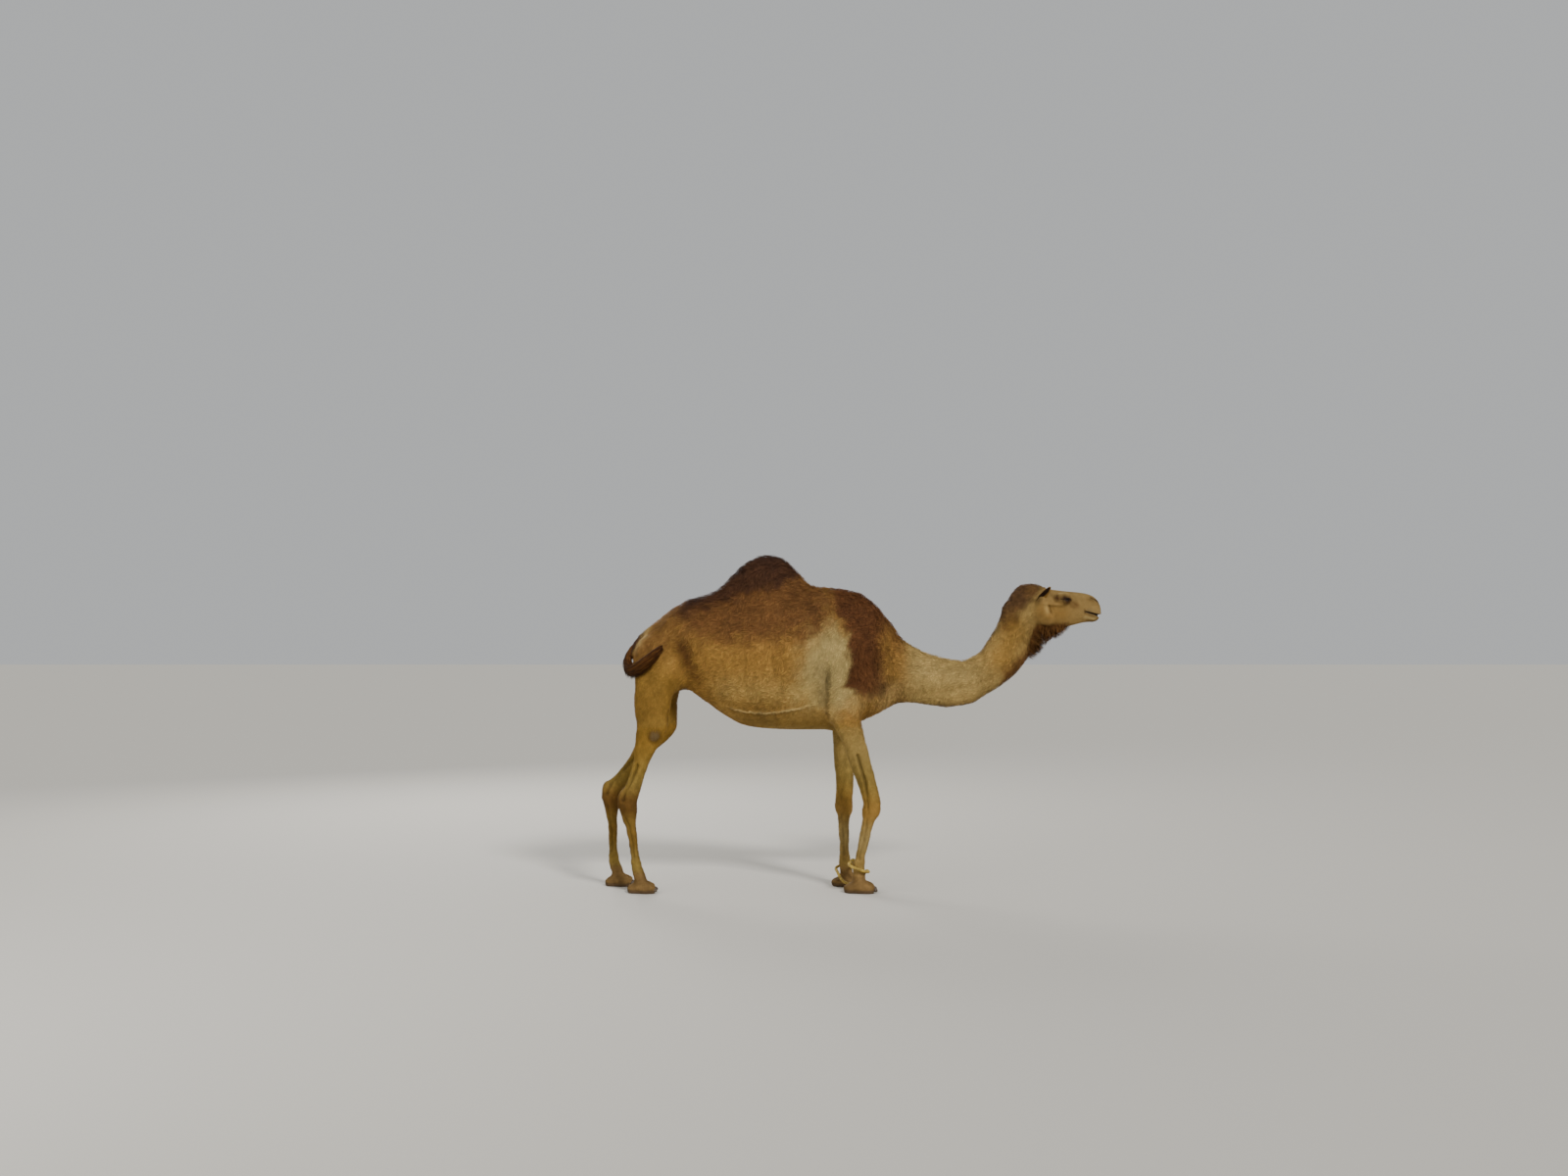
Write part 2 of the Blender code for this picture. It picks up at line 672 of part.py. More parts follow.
def body_cuts():
    """The thin cuts that part the body, all in one cutter."""
    bm = bmesh.new()
    slab(bm, (-0.575, 0.0, 1.790), (-0.138, 0.0, 1.0), 0.40)  # under the hump
    slab(bm, (0.300, 0.0, 1.300), (1.0, 0.0, 0.12), 0.27)  # base of the neck
    for side in SIDES:
        _, elbow, knee, fetlock, _ = side_joints(FORE_JOINTS, side)
        slab(bm, elbow.lerp(knee, 0.19), (0.0, 0.0, 1.0), 0.125)
        slab(bm, knee.lerp(fetlock, 0.14), fetlock - knee, 0.085)
        slab(bm, knee.lerp(fetlock, 0.95), fetlock - knee, 0.070)
        hip, stifle, hock, fetlock, _ = side_joints(HIND_JOINTS, side)
        slab(bm, hip.lerp(stifle, 0.60), (0.0, 0.0, 1.0), 0.145)
        slab(bm, stifle.lerp(hock, 0.20), hock - stifle, 0.125)
        slab(bm, hock.lerp(fetlock, 0.14), fetlock - hock, 0.085)
        slab(bm, hock.lerp(fetlock, 0.95), fetlock - hock, 0.065)
    return bm


def make_body(parts_collection, cutters):
    masses = [
        trunk_masses(),
        hump_mass(),
        muscle_masses(),
        leg_masses(FORE_JOINTS, FORE_SECTIONS, 1.0),
        leg_masses(HIND_JOINTS, HIND_SECTIONS, HIND_FOOT),
        joint_masses(),
    ]
    body = fuse("body", masses, BODY_VOXEL, BODY_SMOOTHING, parts_collection, soft_share)
    keep_side(body, *NECK_SEAM)
    thin_out(body, BODY_TRIANGLES, thin_share)
    keep_side(body, (0.0, 0.0, 0.0), (0.0, 0.0, -1.0))
    tail = make_tail(grown(body, GAP, cutters), parts_collection, cutters)
    combine(body, helper("body_cutter", body_cuts(), cutters), "DIFFERENCE")
    parts = loose_parts(body, body_labels(), parts_collection)
    parts.update(tail)
    return parts


def make_tail(shell, collection, cutters):
    """The tail, cut to sit on the croup and the buttock, then parted where its tuft begins."""
    bm = bmesh.new()
    add_tail(bm)
    tail = fuse("whole_tail", [bm], TAIL_VOXEL, WOOL_SMOOTHING, collection)
    thin_out(tail, TAIL_TRIANGLES)
    combine(tail, shell, "DIFFERENCE", folded=True)
    keep_largest(tail)
    start, after = Vector(TAIL[TUFT_START][:3]), Vector(TAIL[TUFT_START + 1][:3])
    cut = bmesh.new()
    slab(cut, start, after - start, 0.07)
    combine(tail, helper("tail_cutter", cut, cutters), "DIFFERENCE")
    labels = {"tail": (-1.27, 0.0, 1.47), "tail_tuft": (-1.23, -0.14, 1.36)}
    return loose_parts(tail, labels, collection)


# --- the upper neck and head --------------------------------------------------------------------


def neck_mass():
    return lofted(NECK[2:], upper=2.1)


def head_mass():
    return lofted(HEAD, upper=2.25, lower=2.25)


def face_masses():
    bm = bmesh.new()
    paired_mass(bm, (1.246, 0.061, 1.727), (0.056, 0.030, 0.034), lean=0.05)  # eye socket
    paired_mass(bm, (1.250, 0.074, 1.747), (0.044, 0.020, 0.014), lean=0.08, roll=-0.3)  # brow
    paired_mass(bm, (1.185, 0.056, 1.694), (0.082, 0.022, 0.020), lean=0.08)  # cheek bone
    paired_mass(bm, (1.152, 0.042, 1.630), (0.066, 0.036, 0.064), lean=0.30)  # jaw muscle
    paired_mass(bm, (1.300, 0.040, 1.702), (0.055, 0.022, 0.030), lean=0.25)  # below the eye
    paired_mass(bm, (1.432, 0.022, 1.655), (0.050, 0.028, 0.036), lean=0.30)  # upper lip
    paired_mass(bm, (1.428, 0.026, 1.716), (0.044, 0.018, 0.018), lean=0.40)  # nostril rim
    paired_mass(bm, (1.110, 0.052, 1.722), (0.034, 0.026, 0.032))  # ear base
    mass(bm, (1.424, 0.0, 1.611), (0.042, 0.035, 0.022), lean=0.1)  # lower lip
    mass(bm, (1.062, 0.0, 1.787), (0.088, 0.048, 0.034), lean=0.02)  # poll wool
    mass(bm, (0.926, 0.0, 1.676), (0.034, 0.052, 0.058), lean=0.55)  # nape wool
    mass(bm, (0.984, 0.0, 1.745), (0.055, 0.050, 0.042), lean=-0.80)  # wool between them
    return bm


def bent_slab(outline, half_width, thickness):
    """A thin cutter that follows a side-view line right through the head."""
    bm = bmesh.new()
    rows = []
    for k, point in enumerate(outline):
        before, after = outline[max(k - 1, 0)], outline[min(k + 1, len(outline) - 1)]
        along = Vector((after[0] - before[0], 0.0, after[1] - before[1])).normalized()
        across = Vector((-along.z, 0.0, along.x)) * thickness / 2
        centre = Vector((point[0], 0.0, point[1]))
        corners = ((1, 1), (1, -1), (-1, -1), (-1, 1))
        places = [centre + across * u + Vector((0.0, half_width * v, 0.0)) for u, v in corners]
        rows.append([bm.verts.new(place) for place in places])
    for first, second in zip(rows, rows[1:]):
        for k in range(4):
            bm.faces.new((first[k], first[(k + 1) % 4], second[(k + 1) % 4], second[k]))
    bm.faces.new(rows[0])
    bm.faces.new(rows[-1])
    return bm


def head_cuts():
    """The seam between head and neck, and the two eye sockets."""
    bm = bmesh.new()
    slab(bm, HEAD_SEAM[0], HEAD_SEAM[1], 0.20)
    for side in SIDES.values():
        place = Matrix.Translation((EYE.x, side * EYE.y, EYE.z))
        bmesh.ops.create_uvsphere(bm, u_segments=12, v_segments=8, radius=EYE_RADIUS + GAP, matrix=place)
    return bm


def head_thin_share(co):
    """The neck may be thinned more than the face."""
    return 1.0 if co.x < 1.05 else FACE_THINNING


def make_head(parts_collection, cutters):
    masses = [neck_mass(), head_mass(), face_masses()]
    head = fuse("whole_head", masses, HEAD_VOXEL, HEAD_SMOOTHING, parts_collection)
    seam, normal = NECK_SEAM
    keep_side(head, seam + normal.normalized() * CUT, -normal)
    thin_out(head, HEAD_TRIANGLES, head_thin_share)
    shell = grown(head, GAP, cutters)
    beard = make_beard(shell, parts_collection)
    ears = {f"ear_{side}": make_ear(f"ear_{side}", SIDES[side], shell, parts_collection) for side in SIDES}
    combine(head, helper("head_cutter", head_cuts(), cutters), "DIFFERENCE", folded=True)
    labels = {"neck_upper": (0.90, 0.0, 1.44), "whole_head": (1.26, 0.0, 1.68)}
    parts = loose_parts(head, labels, parts_collection)
    head = parts.pop("whole_head")
    mouth = helper("mouth_cutter", bent_slab(MOUTH, MOUTH_REACH, MOUTH_GAP), cutters)
    combine(head, mouth, "DIFFERENCE", folded=True)
    labels = {"head": (1.26, 0.0, 1.72), "lower_jaw": (1.28, 0.0, 1.60)}
    parts.update(loose_parts(head, labels, parts_collection))
    parts["beard"] = beard
    parts.update(ears)
    return parts


def make_beard(shell, collection):
    beard = fuse("beard", [lofted(BEARD)], BEARD_VOXEL, WOOL_SMOOTHING, collection)
    thin_out(beard, BEARD_TRIANGLES)
    combine(beard, shell, "DIFFERENCE", folded=True)
    return beard


def make_ear(name, side, shell, collection):
    """A cupped leaf, open to the front and outwards."""
    root = Vector((EAR_ROOT.x, side * EAR_ROOT.y, EAR_ROOT.z))
    tip = Vector((EAR_TIP.x, side * EAR_TIP.y, EAR_TIP.z))
    axis = (tip - root).normalized()
    opening = Vector((0.55, side * 0.80, -0.10))
    opening = (opening - axis * opening.dot(axis)).normalized()
    across = axis.cross(opening) * side
    rows, columns = 7, 6
    bm = bmesh.new()
    grid = []
    for i in range(rows):
        along = i / (rows - 1)
        width = EAR_HALF_WIDTH * math.sin(math.pi * (0.16 + 0.80 * along)) ** 0.8
        cup = 0.85 - 0.35 * along
        row = []
        for j in range(columns):
            angle = (j / (columns - 1) - 0.5) * 2.0 * math.pi * 0.42
            place = across * math.sin(angle) * width + opening * (1.0 - math.cos(angle)) * width * cup
            row.append(bm.verts.new(root + axis * EAR_LENGTH * (along - 0.10) + place))
        grid.append(row)
    for first, second in zip(grid, grid[1:]):
        for j in range(columns - 1):
            bm.faces.new((first[j], first[j + 1], second[j + 1], second[j]))
    mesh = bpy.data.meshes.new(name)
    bm.to_mesh(mesh)
    bm.free()
    ear = make_object(name, mesh, collection)
    wall = ear.modifiers.new("wall", "SOLIDIFY")
    wall.thickness = EAR_THICKNESS
    wall.offset = 0.0
    bake_modifiers(ear)
    keep_faces_out(ear)
    combine(ear, shell, "DIFFERENCE", folded=True)
    return keep_largest(ear)


def keep_faces_out(obj):
    bm = bmesh.new()
    bm.from_mesh(obj.data)
    bmesh.ops.recalc_face_normals(bm, faces=bm.faces)
    bm.to_mesh(obj.data)
    bm.free()


def keep_largest(obj):
    """Drops the crumbs that a cut leaves, keeping the body with the most faces."""
    bm = bmesh.new()
    bm.from_mesh(obj.data)
    crumbs = [face for island in face_islands(bm)[:-1] for face in island]
    bmesh.ops.delete(bm, geom=crumbs, context="FACES")
    bm.to_mesh(obj.data)
    bm.free()
    return obj


def make_eyes(collection):
    eyes = {}
    for side, sign in SIDES.items():
        name = f"eye_{side}"
        bm = bmesh.new()
        place = Matrix.Translation((EYE.x, sign * EYE.y, EYE.z))
        bmesh.ops.create_uvsphere(bm, u_segments=12, v_segments=8, radius=EYE_RADIUS, matrix=place)
        mesh = bpy.data.meshes.new(name)
        bm.to_mesh(mesh)
        bm.free()
        eyes[name] = make_object(name, mesh, collection)
    return eyes


# --- toenails and the hobble ---------------------------------------------------------------------


def make_nails(parts, cutters, collection):
    """Two nails on each foot, let into the tips of the toes."""
    nails = {}
    for end, joints_of, scale in (("fore", FORE_JOINTS, 1.0), ("hind", HIND_JOINTS, HIND_FOOT)):
        for side in SIDES:
            ball = side_joints(joints_of, side)[-1]
            foot = parts[f"{end}_{side}_foot"]
            pocket = bmesh.new()
            for toe, which in ((-1.0, "a"), (1.0, "b")):
                across = ball.y + toe * NAIL_SPREAD * scale
                centre = Vector((ball.x + NAIL_REACH * scale, across, NAIL_HEIGHT))
                radii = Vector(NAIL_RADII) * scale
                turn = Matrix.Rotation(NAIL_LEAN, 4, "Y")
                name = f"nail_{end}_{side}_{which}"
                bm = bmesh.new()
                for target, extra in ((bm, 0.0), (pocket, GAP)):
                    grow = Matrix.Diagonal((*(radii + Vector((extra,) * 3)), 1.0))
                    bmesh.ops.create_uvsphere(
                        target, u_segments=8, v_segments=6, radius=1.0,
                        matrix=Matrix.Translation(centre) @ turn @ grow,
                    )
                mesh = bpy.data.meshes.new(name)
                bm.to_mesh(mesh)
                bm.free()
                nails[name] = make_object(name, mesh, collection)
            combine(foot, helper(f"nail_pocket_{end}_{side}", pocket, cutters), "DIFFERENCE")
            keep_largest(foot)
    return nails


def make_hobble(collection):
    curve = bpy.data.curves.new("hobble_rope", "CURVE")
    curve.dimensions = "3D"
    curve.bevel_depth = ROPE_RADIUS
    curve.bevel_resolution = 1
    spline = curve.splines.new("POLY")
    route = through(HOBBLE, steps=2, closed=True)
    spline.points.add(len(route) - 1)
    for point, place in zip(spline.points, route):
        point.co = (*place, 1.0)
    spline.use_cyclic_u = True
    return make_object("hobble_rope", curve, collection)


def centre_on_floor(objects):
    """Moves everything so that the middle of the box's base is the origin."""
    bpy.context.view_layer.update()
    corners = [obj.matrix_world @ Vector(c) for obj in objects for c in obj.bound_box]
    low = Vector([min(c[i] for c in corners) for i in range(3)])
    high = Vector([max(c[i] for c in corners) for i in range(3)])
    shift = Vector((-(low.x + high.x) / 2, -(low.y + high.y) / 2, -low.z))
    for obj in objects:
        obj.data.transform(Matrix.Translation(shift))


def main():
    clear_scene()
    camel = bpy.data.collections.new("camel")
    cutters = bpy.data.collections.new("cutters")
    for collection in (camel, cutters):
        bpy.context.scene.collection.children.link(collection)

    hide = make_material("hide", SKIN, 0.85)
    wool = make_material("dark_wool", DARK_HAIR, 0.95)
    horn = make_material("horn", HORN, 0.45)
    eye = make_material("eye", (0.03, 0.02, 0.015), 0.08)
    rope = make_material("hobble_rope", ROPE_YELLOW, 0.7)

    parts = make_body(camel, cutters)
    parts.update(make_head(camel, cutters))
    parts.update(make_eyes(camel))
    parts.update(make_nails(parts, cutters, camel))
    for name, part in parts.items():
        if name.startswith("nail"):
            finish(part, horn, 80.0)
        elif name.startswith("eye"):
            finish(part, eye, 80.0)
        elif name in ("beard", "tail_tuft"):
            finish(part, wool)
        else:
            finish(part, hide)
    hobble = make_hobble(camel)
    hobble.data.materials.append(rope)
    centre_on_floor([*parts.values(), hobble])


main()
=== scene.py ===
# A standing dromedary with hobbled forelegs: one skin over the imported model, and a coat of mesh tufts.
import math
import time

import bmesh
import bpy
import numpy as np
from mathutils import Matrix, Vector
from mathutils.bvhtree import BVHTree
from mathutils.kdtree import KDTree


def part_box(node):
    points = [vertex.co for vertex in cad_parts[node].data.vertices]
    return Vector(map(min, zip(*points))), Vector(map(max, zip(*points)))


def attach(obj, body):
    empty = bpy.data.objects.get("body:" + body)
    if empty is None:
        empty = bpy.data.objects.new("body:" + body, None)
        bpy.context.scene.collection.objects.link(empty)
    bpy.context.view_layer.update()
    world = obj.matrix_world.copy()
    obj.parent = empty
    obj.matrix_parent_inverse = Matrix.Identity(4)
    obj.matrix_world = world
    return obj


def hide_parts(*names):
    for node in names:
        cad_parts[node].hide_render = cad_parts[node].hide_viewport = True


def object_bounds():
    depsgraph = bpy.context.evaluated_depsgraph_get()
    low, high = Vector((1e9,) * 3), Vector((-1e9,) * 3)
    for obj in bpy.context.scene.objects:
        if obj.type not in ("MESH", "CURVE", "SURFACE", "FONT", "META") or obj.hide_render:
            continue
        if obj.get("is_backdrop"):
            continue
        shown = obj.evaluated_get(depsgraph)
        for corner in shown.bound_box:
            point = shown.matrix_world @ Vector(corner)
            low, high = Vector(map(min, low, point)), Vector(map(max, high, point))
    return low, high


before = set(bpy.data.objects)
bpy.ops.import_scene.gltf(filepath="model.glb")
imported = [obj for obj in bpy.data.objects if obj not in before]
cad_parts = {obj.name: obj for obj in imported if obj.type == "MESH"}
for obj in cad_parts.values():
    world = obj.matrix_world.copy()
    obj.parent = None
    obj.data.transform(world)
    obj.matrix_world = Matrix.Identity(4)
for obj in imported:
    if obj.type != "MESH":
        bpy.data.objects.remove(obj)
cadLow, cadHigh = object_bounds()
startTime = time.time()


def say(words):
    print(f"{time.time() - startTime:6.1f} s  {words}")


def pick(thing):
    for other in bpy.context.selected_objects:
        other.select_set(False)
    thing.select_set(True)
    bpy.context.view_layer.objects.active = thing


def applyModifier(thing, kind, **settings):
    pick(thing)
    modifier = thing.modifiers.new(kind.lower(), kind)
    for name, value in settings.items():
        setattr(modifier, name, value)
    bpy.ops.object.modifier_apply(modifier=modifier.name)


def linear(hexColour):  # sRGB hex to linear red, green and blue
    parts = [int(hexColour[i:i + 2], 16) / 255 for i in (1, 3, 5)]
    return np.array([c / 12.92 if c <= 0.04045 else ((c + 0.055) / 1.055) ** 2.4 for c in parts])


def editWhole(thing, *steps):  # runs operators on the whole mesh in edit mode
    pick(thing)
    bpy.ops.object.mode_set(mode="EDIT")
    bpy.ops.mesh.select_all(action="SELECT")
    for operator, settings in steps:
        operator(**settings)
    bpy.ops.object.mode_set(mode="OBJECT")


def joinParts(parts, name):
    pick(parts[0])
    for part in parts:
        part.select_set(True)
    if len(parts) > 1:
        bpy.ops.object.join()
    parts[0].name = name
    return parts[0]


def addObject(name, mesh, material):
    thing = bpy.data.objects.new(name, mesh)
    bpy.context.scene.collection.objects.link(thing)
    mesh.materials.append(material)
    return thing


def copyNodes(nodes):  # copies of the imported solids, without their materials
    copies = []
    for node in nodes:
        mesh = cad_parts[node].data.copy()
        mesh.materials.clear()
        copies.append(bpy.data.objects.new(node + "_copy", mesh))
        bpy.context.scene.collection.objects.link(copies[-1])
    return copies


def addNode(tree, kind, settings=None, links=None):  # a node, its values, and what feeds its sockets
    node = tree.nodes.new(kind)
    for name, value in (settings or {}).items():
        if isinstance(name, str) and hasattr(node, name):
            setattr(node, name, value)
        else:
            node.inputs[name].default_value = value
    for name, source in (links or {}).items():
        tree.links.new(source, node.inputs[name])
    return node


def newMaterial(name, **constants):  # the material, its nodes and its shader
    material = bpy.data.materials.new(name)
    material.use_nodes = True
    shader = material.node_tree.nodes["Principled BSDF"]
    for socket, value in constants.items():
        value = (*linear(value), 1) if isinstance(value, str) else value
        shader.inputs[socket.replace("_", " ")].default_value = value
    return material, material.node_tree, shader


def addRamp(tree, fed, *stops):  # a ramp between two colours, each with its position
    ramp = addNode(tree, "ShaderNodeValToRGB", None, {"Fac": fed})
    for element, (position, colour) in zip(ramp.color_ramp.elements, stops):
        element.position, element.color = position, (*linear(colour), 1)
    return ramp.outputs["Color"]


def smoothStep(low, high, values):
    t = np.clip((values - low) / (high - low), 0, 1)
    return t * t * (3 - 2 * t)


view = {  # the camera
    "lens": 38,
    "sensor": 36,
    "place": (-0.393, -9.88, 1.628),
    "lookUp": 0.95,  # degrees above level
}


def makeCamera():
    bpy.ops.object.camera_add(location=view["place"], rotation=(math.radians(90 + view["lookUp"]), 0, 0))
    camera = bpy.context.object
    camera.name = "camera"
    camera.data.lens = view["lens"]
    camera.data.sensor_width = view["sensor"]
    bpy.context.scene.camera = camera


studio = {
    "floor": "#c9c4ba",
    "floorSize": 90,
    "sky": "#d9dbdc",
    "skyStrength": 0.72,
    "lamps": (  # name, kind, place, aim, size in metres or degrees, power
        ("key", "SUN", (2.4, -4.2, 4.6), (0, 0, 1.1), 11, 2.6),
        ("fill", "AREA", (-5.5, -4.5, 2.6), (-0.4, 0, 1.0), 4.0, 120),
        ("back", "AREA", (-3.5, 5.5, 4.6), (-0.4, 0, 1.3), 3.0, 240),
    ),
}


def makeStudio():
    bpy.ops.mesh.primitive_plane_add(size=studio["floorSize"])
    floor = bpy.context.object
    floor.name = "floor"
    floor.data.materials.append(newMaterial("matte painted floor", Base_Color=studio["floor"], Roughness=0.85)[0])
    floor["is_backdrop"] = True
    world = bpy.data.worlds.new("studio")
    world.use_nodes = True
    background = world.node_tree.nodes["Background"]
    background.inputs["Color"].default_value = (*linear(studio["sky"]), 1)
    background.inputs["Strength"].default_value = studio["skyStrength"]
    bpy.context.scene.world = world
    for name, kind, place, aim, size, power in studio["lamps"]:
        bpy.ops.object.light_add(type=kind, location=place)
        lamp = bpy.context.object
        lamp.name = name
        lamp.data.energy = power
        if kind == "SUN":
            lamp.data.angle = math.radians(size)
        else:
            lamp.data.size = size
        lamp.rotation_euler = (Vector(aim) - Vector(place)).to_track_quat("-Z", "Y").to_euler()


makeCamera()
makeStudio()
say("camera, floor and light are set")


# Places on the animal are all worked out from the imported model's boxes.
legBones = {"fore": ("forearm", "cannon", "foot"), "hind": ("thigh", "gaskin", "cannon", "foot")}
legNodes = [f"{end}_{side}_{bone}" for end, bones in legBones.items() for side in ("right", "left") for bone in bones]
headNodes = ["head", "lower_jaw", "neck_upper"]
earNodes = ["ear_right", "ear_left"]
bodyNodes = ["trunk", "hump", "neck_lower", "tail", *headNodes, *legNodes]


def spot(node, x, z, y=0.0):  # a point by shares of the node's length and height, and of its half width
    low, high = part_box(node)
    return np.array([low.x + (high.x - low.x) * x, y * max(abs(low.y), abs(high.y)), low.z + (high.z - low.z) * z])


def trail(node, *shares):  # a path of such points on one node
    return [spot(node, *share) for share in shares]


def fold(points):  # the same points, all on the left side
    return points * (1, 0, 1) + np.abs(points * (0, 1, 0))


def near(points, place, reach):  # 1 at the place or its mirror image, 0 beyond reach
    return 1 - smoothStep(0, reach, np.linalg.norm(fold(points) - place, axis=1))


def asPath(path):  # a single place becomes a path of no length
    return path if len(path) > 1 else path * 2


def pathDistance(points, path, mirrored=True):  # from each point to a line through the path's points
    points = fold(points) if mirrored else points
    best = np.full(len(points), 9.0)
    for start, end in zip(path, path[1:]):
        along = end - start
        share = np.clip((points - start) @ along / max(along @ along, 1e-12), 0, 1)
        best = np.minimum(best, np.linalg.norm(points - start - share[:, None] * along, axis=1))
    return best


def along(path, reach, points):  # 1 on the path, falling off as a bell
    return np.exp(-(pathDistance(points, path) / reach) ** 2)


def ripple(points, size, seed):  # soft noise from -1 to 1, with lumps of that size
    rng = np.random.default_rng(seed)
    number = 14
    waves = rng.normal(size=(number, 3)) * 2 * math.pi / (2.6 * size)
    return np.sin(points @ waves.T + rng.uniform(0, 2 * math.pi, number)).sum(axis=1) / 3.7


cheekCrease = trail("head", (0.352, 0.505, 0.80), (0.372, 0.38, 0.80), (0.395, 0.26, 0.72))
eyeAt = np.array(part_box("eye_left")[0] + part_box("eye_left")[1]) / 2
eyeRadius = (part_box("eye_left")[1].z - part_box("eye_left")[0].z) / 2
nostril = trail("head", (0.885, 0.700, 0.42), (0.925, 0.660, 0.40), (0.960, 0.595, 0.30))
mouthLine = trail("head", (0.80, 0.384, 0.46), (0.88, 0.345, 0.44), (0.95, 0.305, 0.34), (0.99, 0.286, 0.16),
                  (1.0, 0.286, 0.0))


# Lines that are laid on to the skin before it is sculpted.
milkVein = trail("trunk", (0.325, 0.165, 0.66), (0.42, 0.130, 0.72), (0.52, 0.140, 0.76), (0.61, 0.165, 0.78),
                 (0.670, 0.190, 0.76))
veinShade = [place - (0, 0, 0.017) for place in milkVein]
elbowCrease = trail("trunk", (0.709, 0.46, 0.72), (0.710, 0.28, 0.72), (0.704, 0.165, 0.70), (0.698, 0.085, 0.66))
elbowHollow = trail("trunk", (0.690, 0.44, 0.74), (0.694, 0.22, 0.74))
elbowCallus = trail("trunk", (0.700, 0.152, 0.74), (0.716, 0.108, 0.74))
surfaceLines = (nostril, milkVein, veinShade, elbowCrease, elbowCallus)


skinShape = {
    "swell": 0.001,  # closes the thin cuts between the nodes before they are fused
    "bodyVoxel": 0.0183,  # size of the faces
    "headVoxel": 0.0035,
    "legVoxel": 0.0055,
    "earVoxel": 0.0026,
    "earStalk": 0.62,  # width of an ear's root against its blade
    "earSunk": 0.018,  # how far an ear's foot is let down into the head
    "neckFrom": 0.90,  # x where the finer upper neck begins
    "headFrom": 1.06,  # x where the finest head begins
    "legsBelow": 0.90,  # z where the finer legs begin
    "blend": 0.06,  # over how far the finer parts take over
    "rounds": 30,  # of smoothing over the joints of the nodes
    "earRounds": 8,
    "lineLift": 0.012,  # of a surface line's ends
    "lineReach": (0.036, 0.018),  # within which the faces are split once, and once more
    "eyeReach": (0.058, 0.036),
    "faceReach": ((nostril, 0.022), (mouthLine, 0.018), (cheekCrease, 0.014)),
}


weld = (bpy.ops.mesh.remove_doubles, {"threshold": 0.00002})


def fusedCopy(name, nodes, voxel):  # the nodes as one closed surface of small even faces
    fused = joinParts(copyNodes(nodes)[::-1], name)
    editWhole(fused, weld, (bpy.ops.transform.shrink_fatten, {"value": skinShape["swell"]}))
    applyModifier(fused, "REMESH", mode="VOXEL", voxel_size=voxel)
    return fused


def readRows(elements, field, width, kind=float):  # one field of every element of a mesh
    values = np.empty(len(elements) * width, kind)
    elements.foreach_get(field, values)
    return values.reshape(-1, width)


def countTriangles(mesh):
    return sum(len(face.vertices) - 2 for face in mesh.polygons)


def readPoints(mesh):
    return readRows(mesh.vertices, "co", 3)


def readNormals(mesh):
    return readRows(mesh.vertices, "normal", 3)


def readEdges(mesh):
    return readRows(mesh.edges, "vertices", 2, int)


def readFloat(mesh, name):
    return readRows(mesh.attributes[name].data, "value", 1)[:, 0]


def writePoints(mesh, points):
    mesh.vertices.foreach_set("co", points.ravel())
    mesh.update()


def addAttribute(mesh, name, kind, values):
    attribute = mesh.attributes.get(name) or mesh.attributes.new(name, kind, "POINT")
    field = {"FLOAT": "value", "FLOAT_VECTOR": "vector", "FLOAT_COLOR": "color"}[kind]
    attribute.data.foreach_set(field, np.ascontiguousarray(values, np.float32).ravel())


def neighbourMean(values, edges):
    count = np.bincount(edges.ravel(), minlength=len(values))
    columns = [np.bincount(edges[:, 0], column[edges[:, 1]], len(values))
               + np.bincount(edges[:, 1], column[edges[:, 0]], len(values)) for column in values.T]
    return np.stack(columns, axis=1) / np.maximum(count, 1)[:, None]


def relax(points, edges, rounds, share=1.0):  # smooths, and swells back what the smoothing shrinks
    for _ in range(rounds):
        for step in (0.5, -0.53):
            points = points + (neighbourMean(points, edges) - points) * step * share
    return points


def unit(vectors):
    return vectors / np.maximum(np.linalg.norm(vectors, axis=1), 1e-9)[:, None]


def surfaceTree(thing):  # finds the nearest place on a mesh
    return BVHTree.FromPolygons([v.co for v in thing.data.vertices], [p.vertices for p in thing.data.polygons])


def project(points, target, weight):  # draws the points on to the target's surface
    tree, moved = surfaceTree(target), points.copy()
    for k in np.nonzero(weight > 0)[0]:
        found = tree.find_nearest(Vector(points[k]))[0]
        moved[k] += (np.array(found) - points[k]) * weight[k]
    return moved


def refine(thing, wanted):  # splits each wanted face into four
    bm = bmesh.new()
    bm.from_mesh(thing.data)
    isEar = bm.verts.layers.float["ear"]
    centres = np.array([face.calc_center_median() for face in bm.faces])
    chosen = wanted(centres)
    edges = {edge for face, take in zip(bm.faces, chosen) if take and not face.verts[0][isEar] for edge in face.edges}
    bmesh.ops.subdivide_edges(bm, edges=list(edges), cuts=1, use_grid_fill=True)
    bm.to_mesh(thing.data)
    bm.free()


def onNeckAndLegs(points):
    tail = (points[:, 0] < -1.17) & (points[:, 2] > 1.2)
    return (points[:, 0] > skinShape["neckFrom"]) | (points[:, 2] < skinShape["legsBelow"]) | tail


def onHead(points):
    return points[:, 0] > skinShape["headFrom"]


def onFaceDetail(points):
    wanted = near(points, eyeAt, skinShape["eyeReach"][0]) > 0
    for path, reach in skinShape["faceReach"]:
        wanted |= pathDistance(points, path) < reach
    return wanted


def onLegDetail(points):  # along the deeper grooves of the legs
    wanted = np.zeros(len(points), bool)
    for _, path, reach, height in legPaths():
        if height < -0.006:
            here = np.nonzero(np.abs(points - np.mean(path, axis=0)).max(axis=1) < 0.30)[0]
            wanted[here] |= pathDistance(points[here], path, False) < reach * 1.3
    return wanted


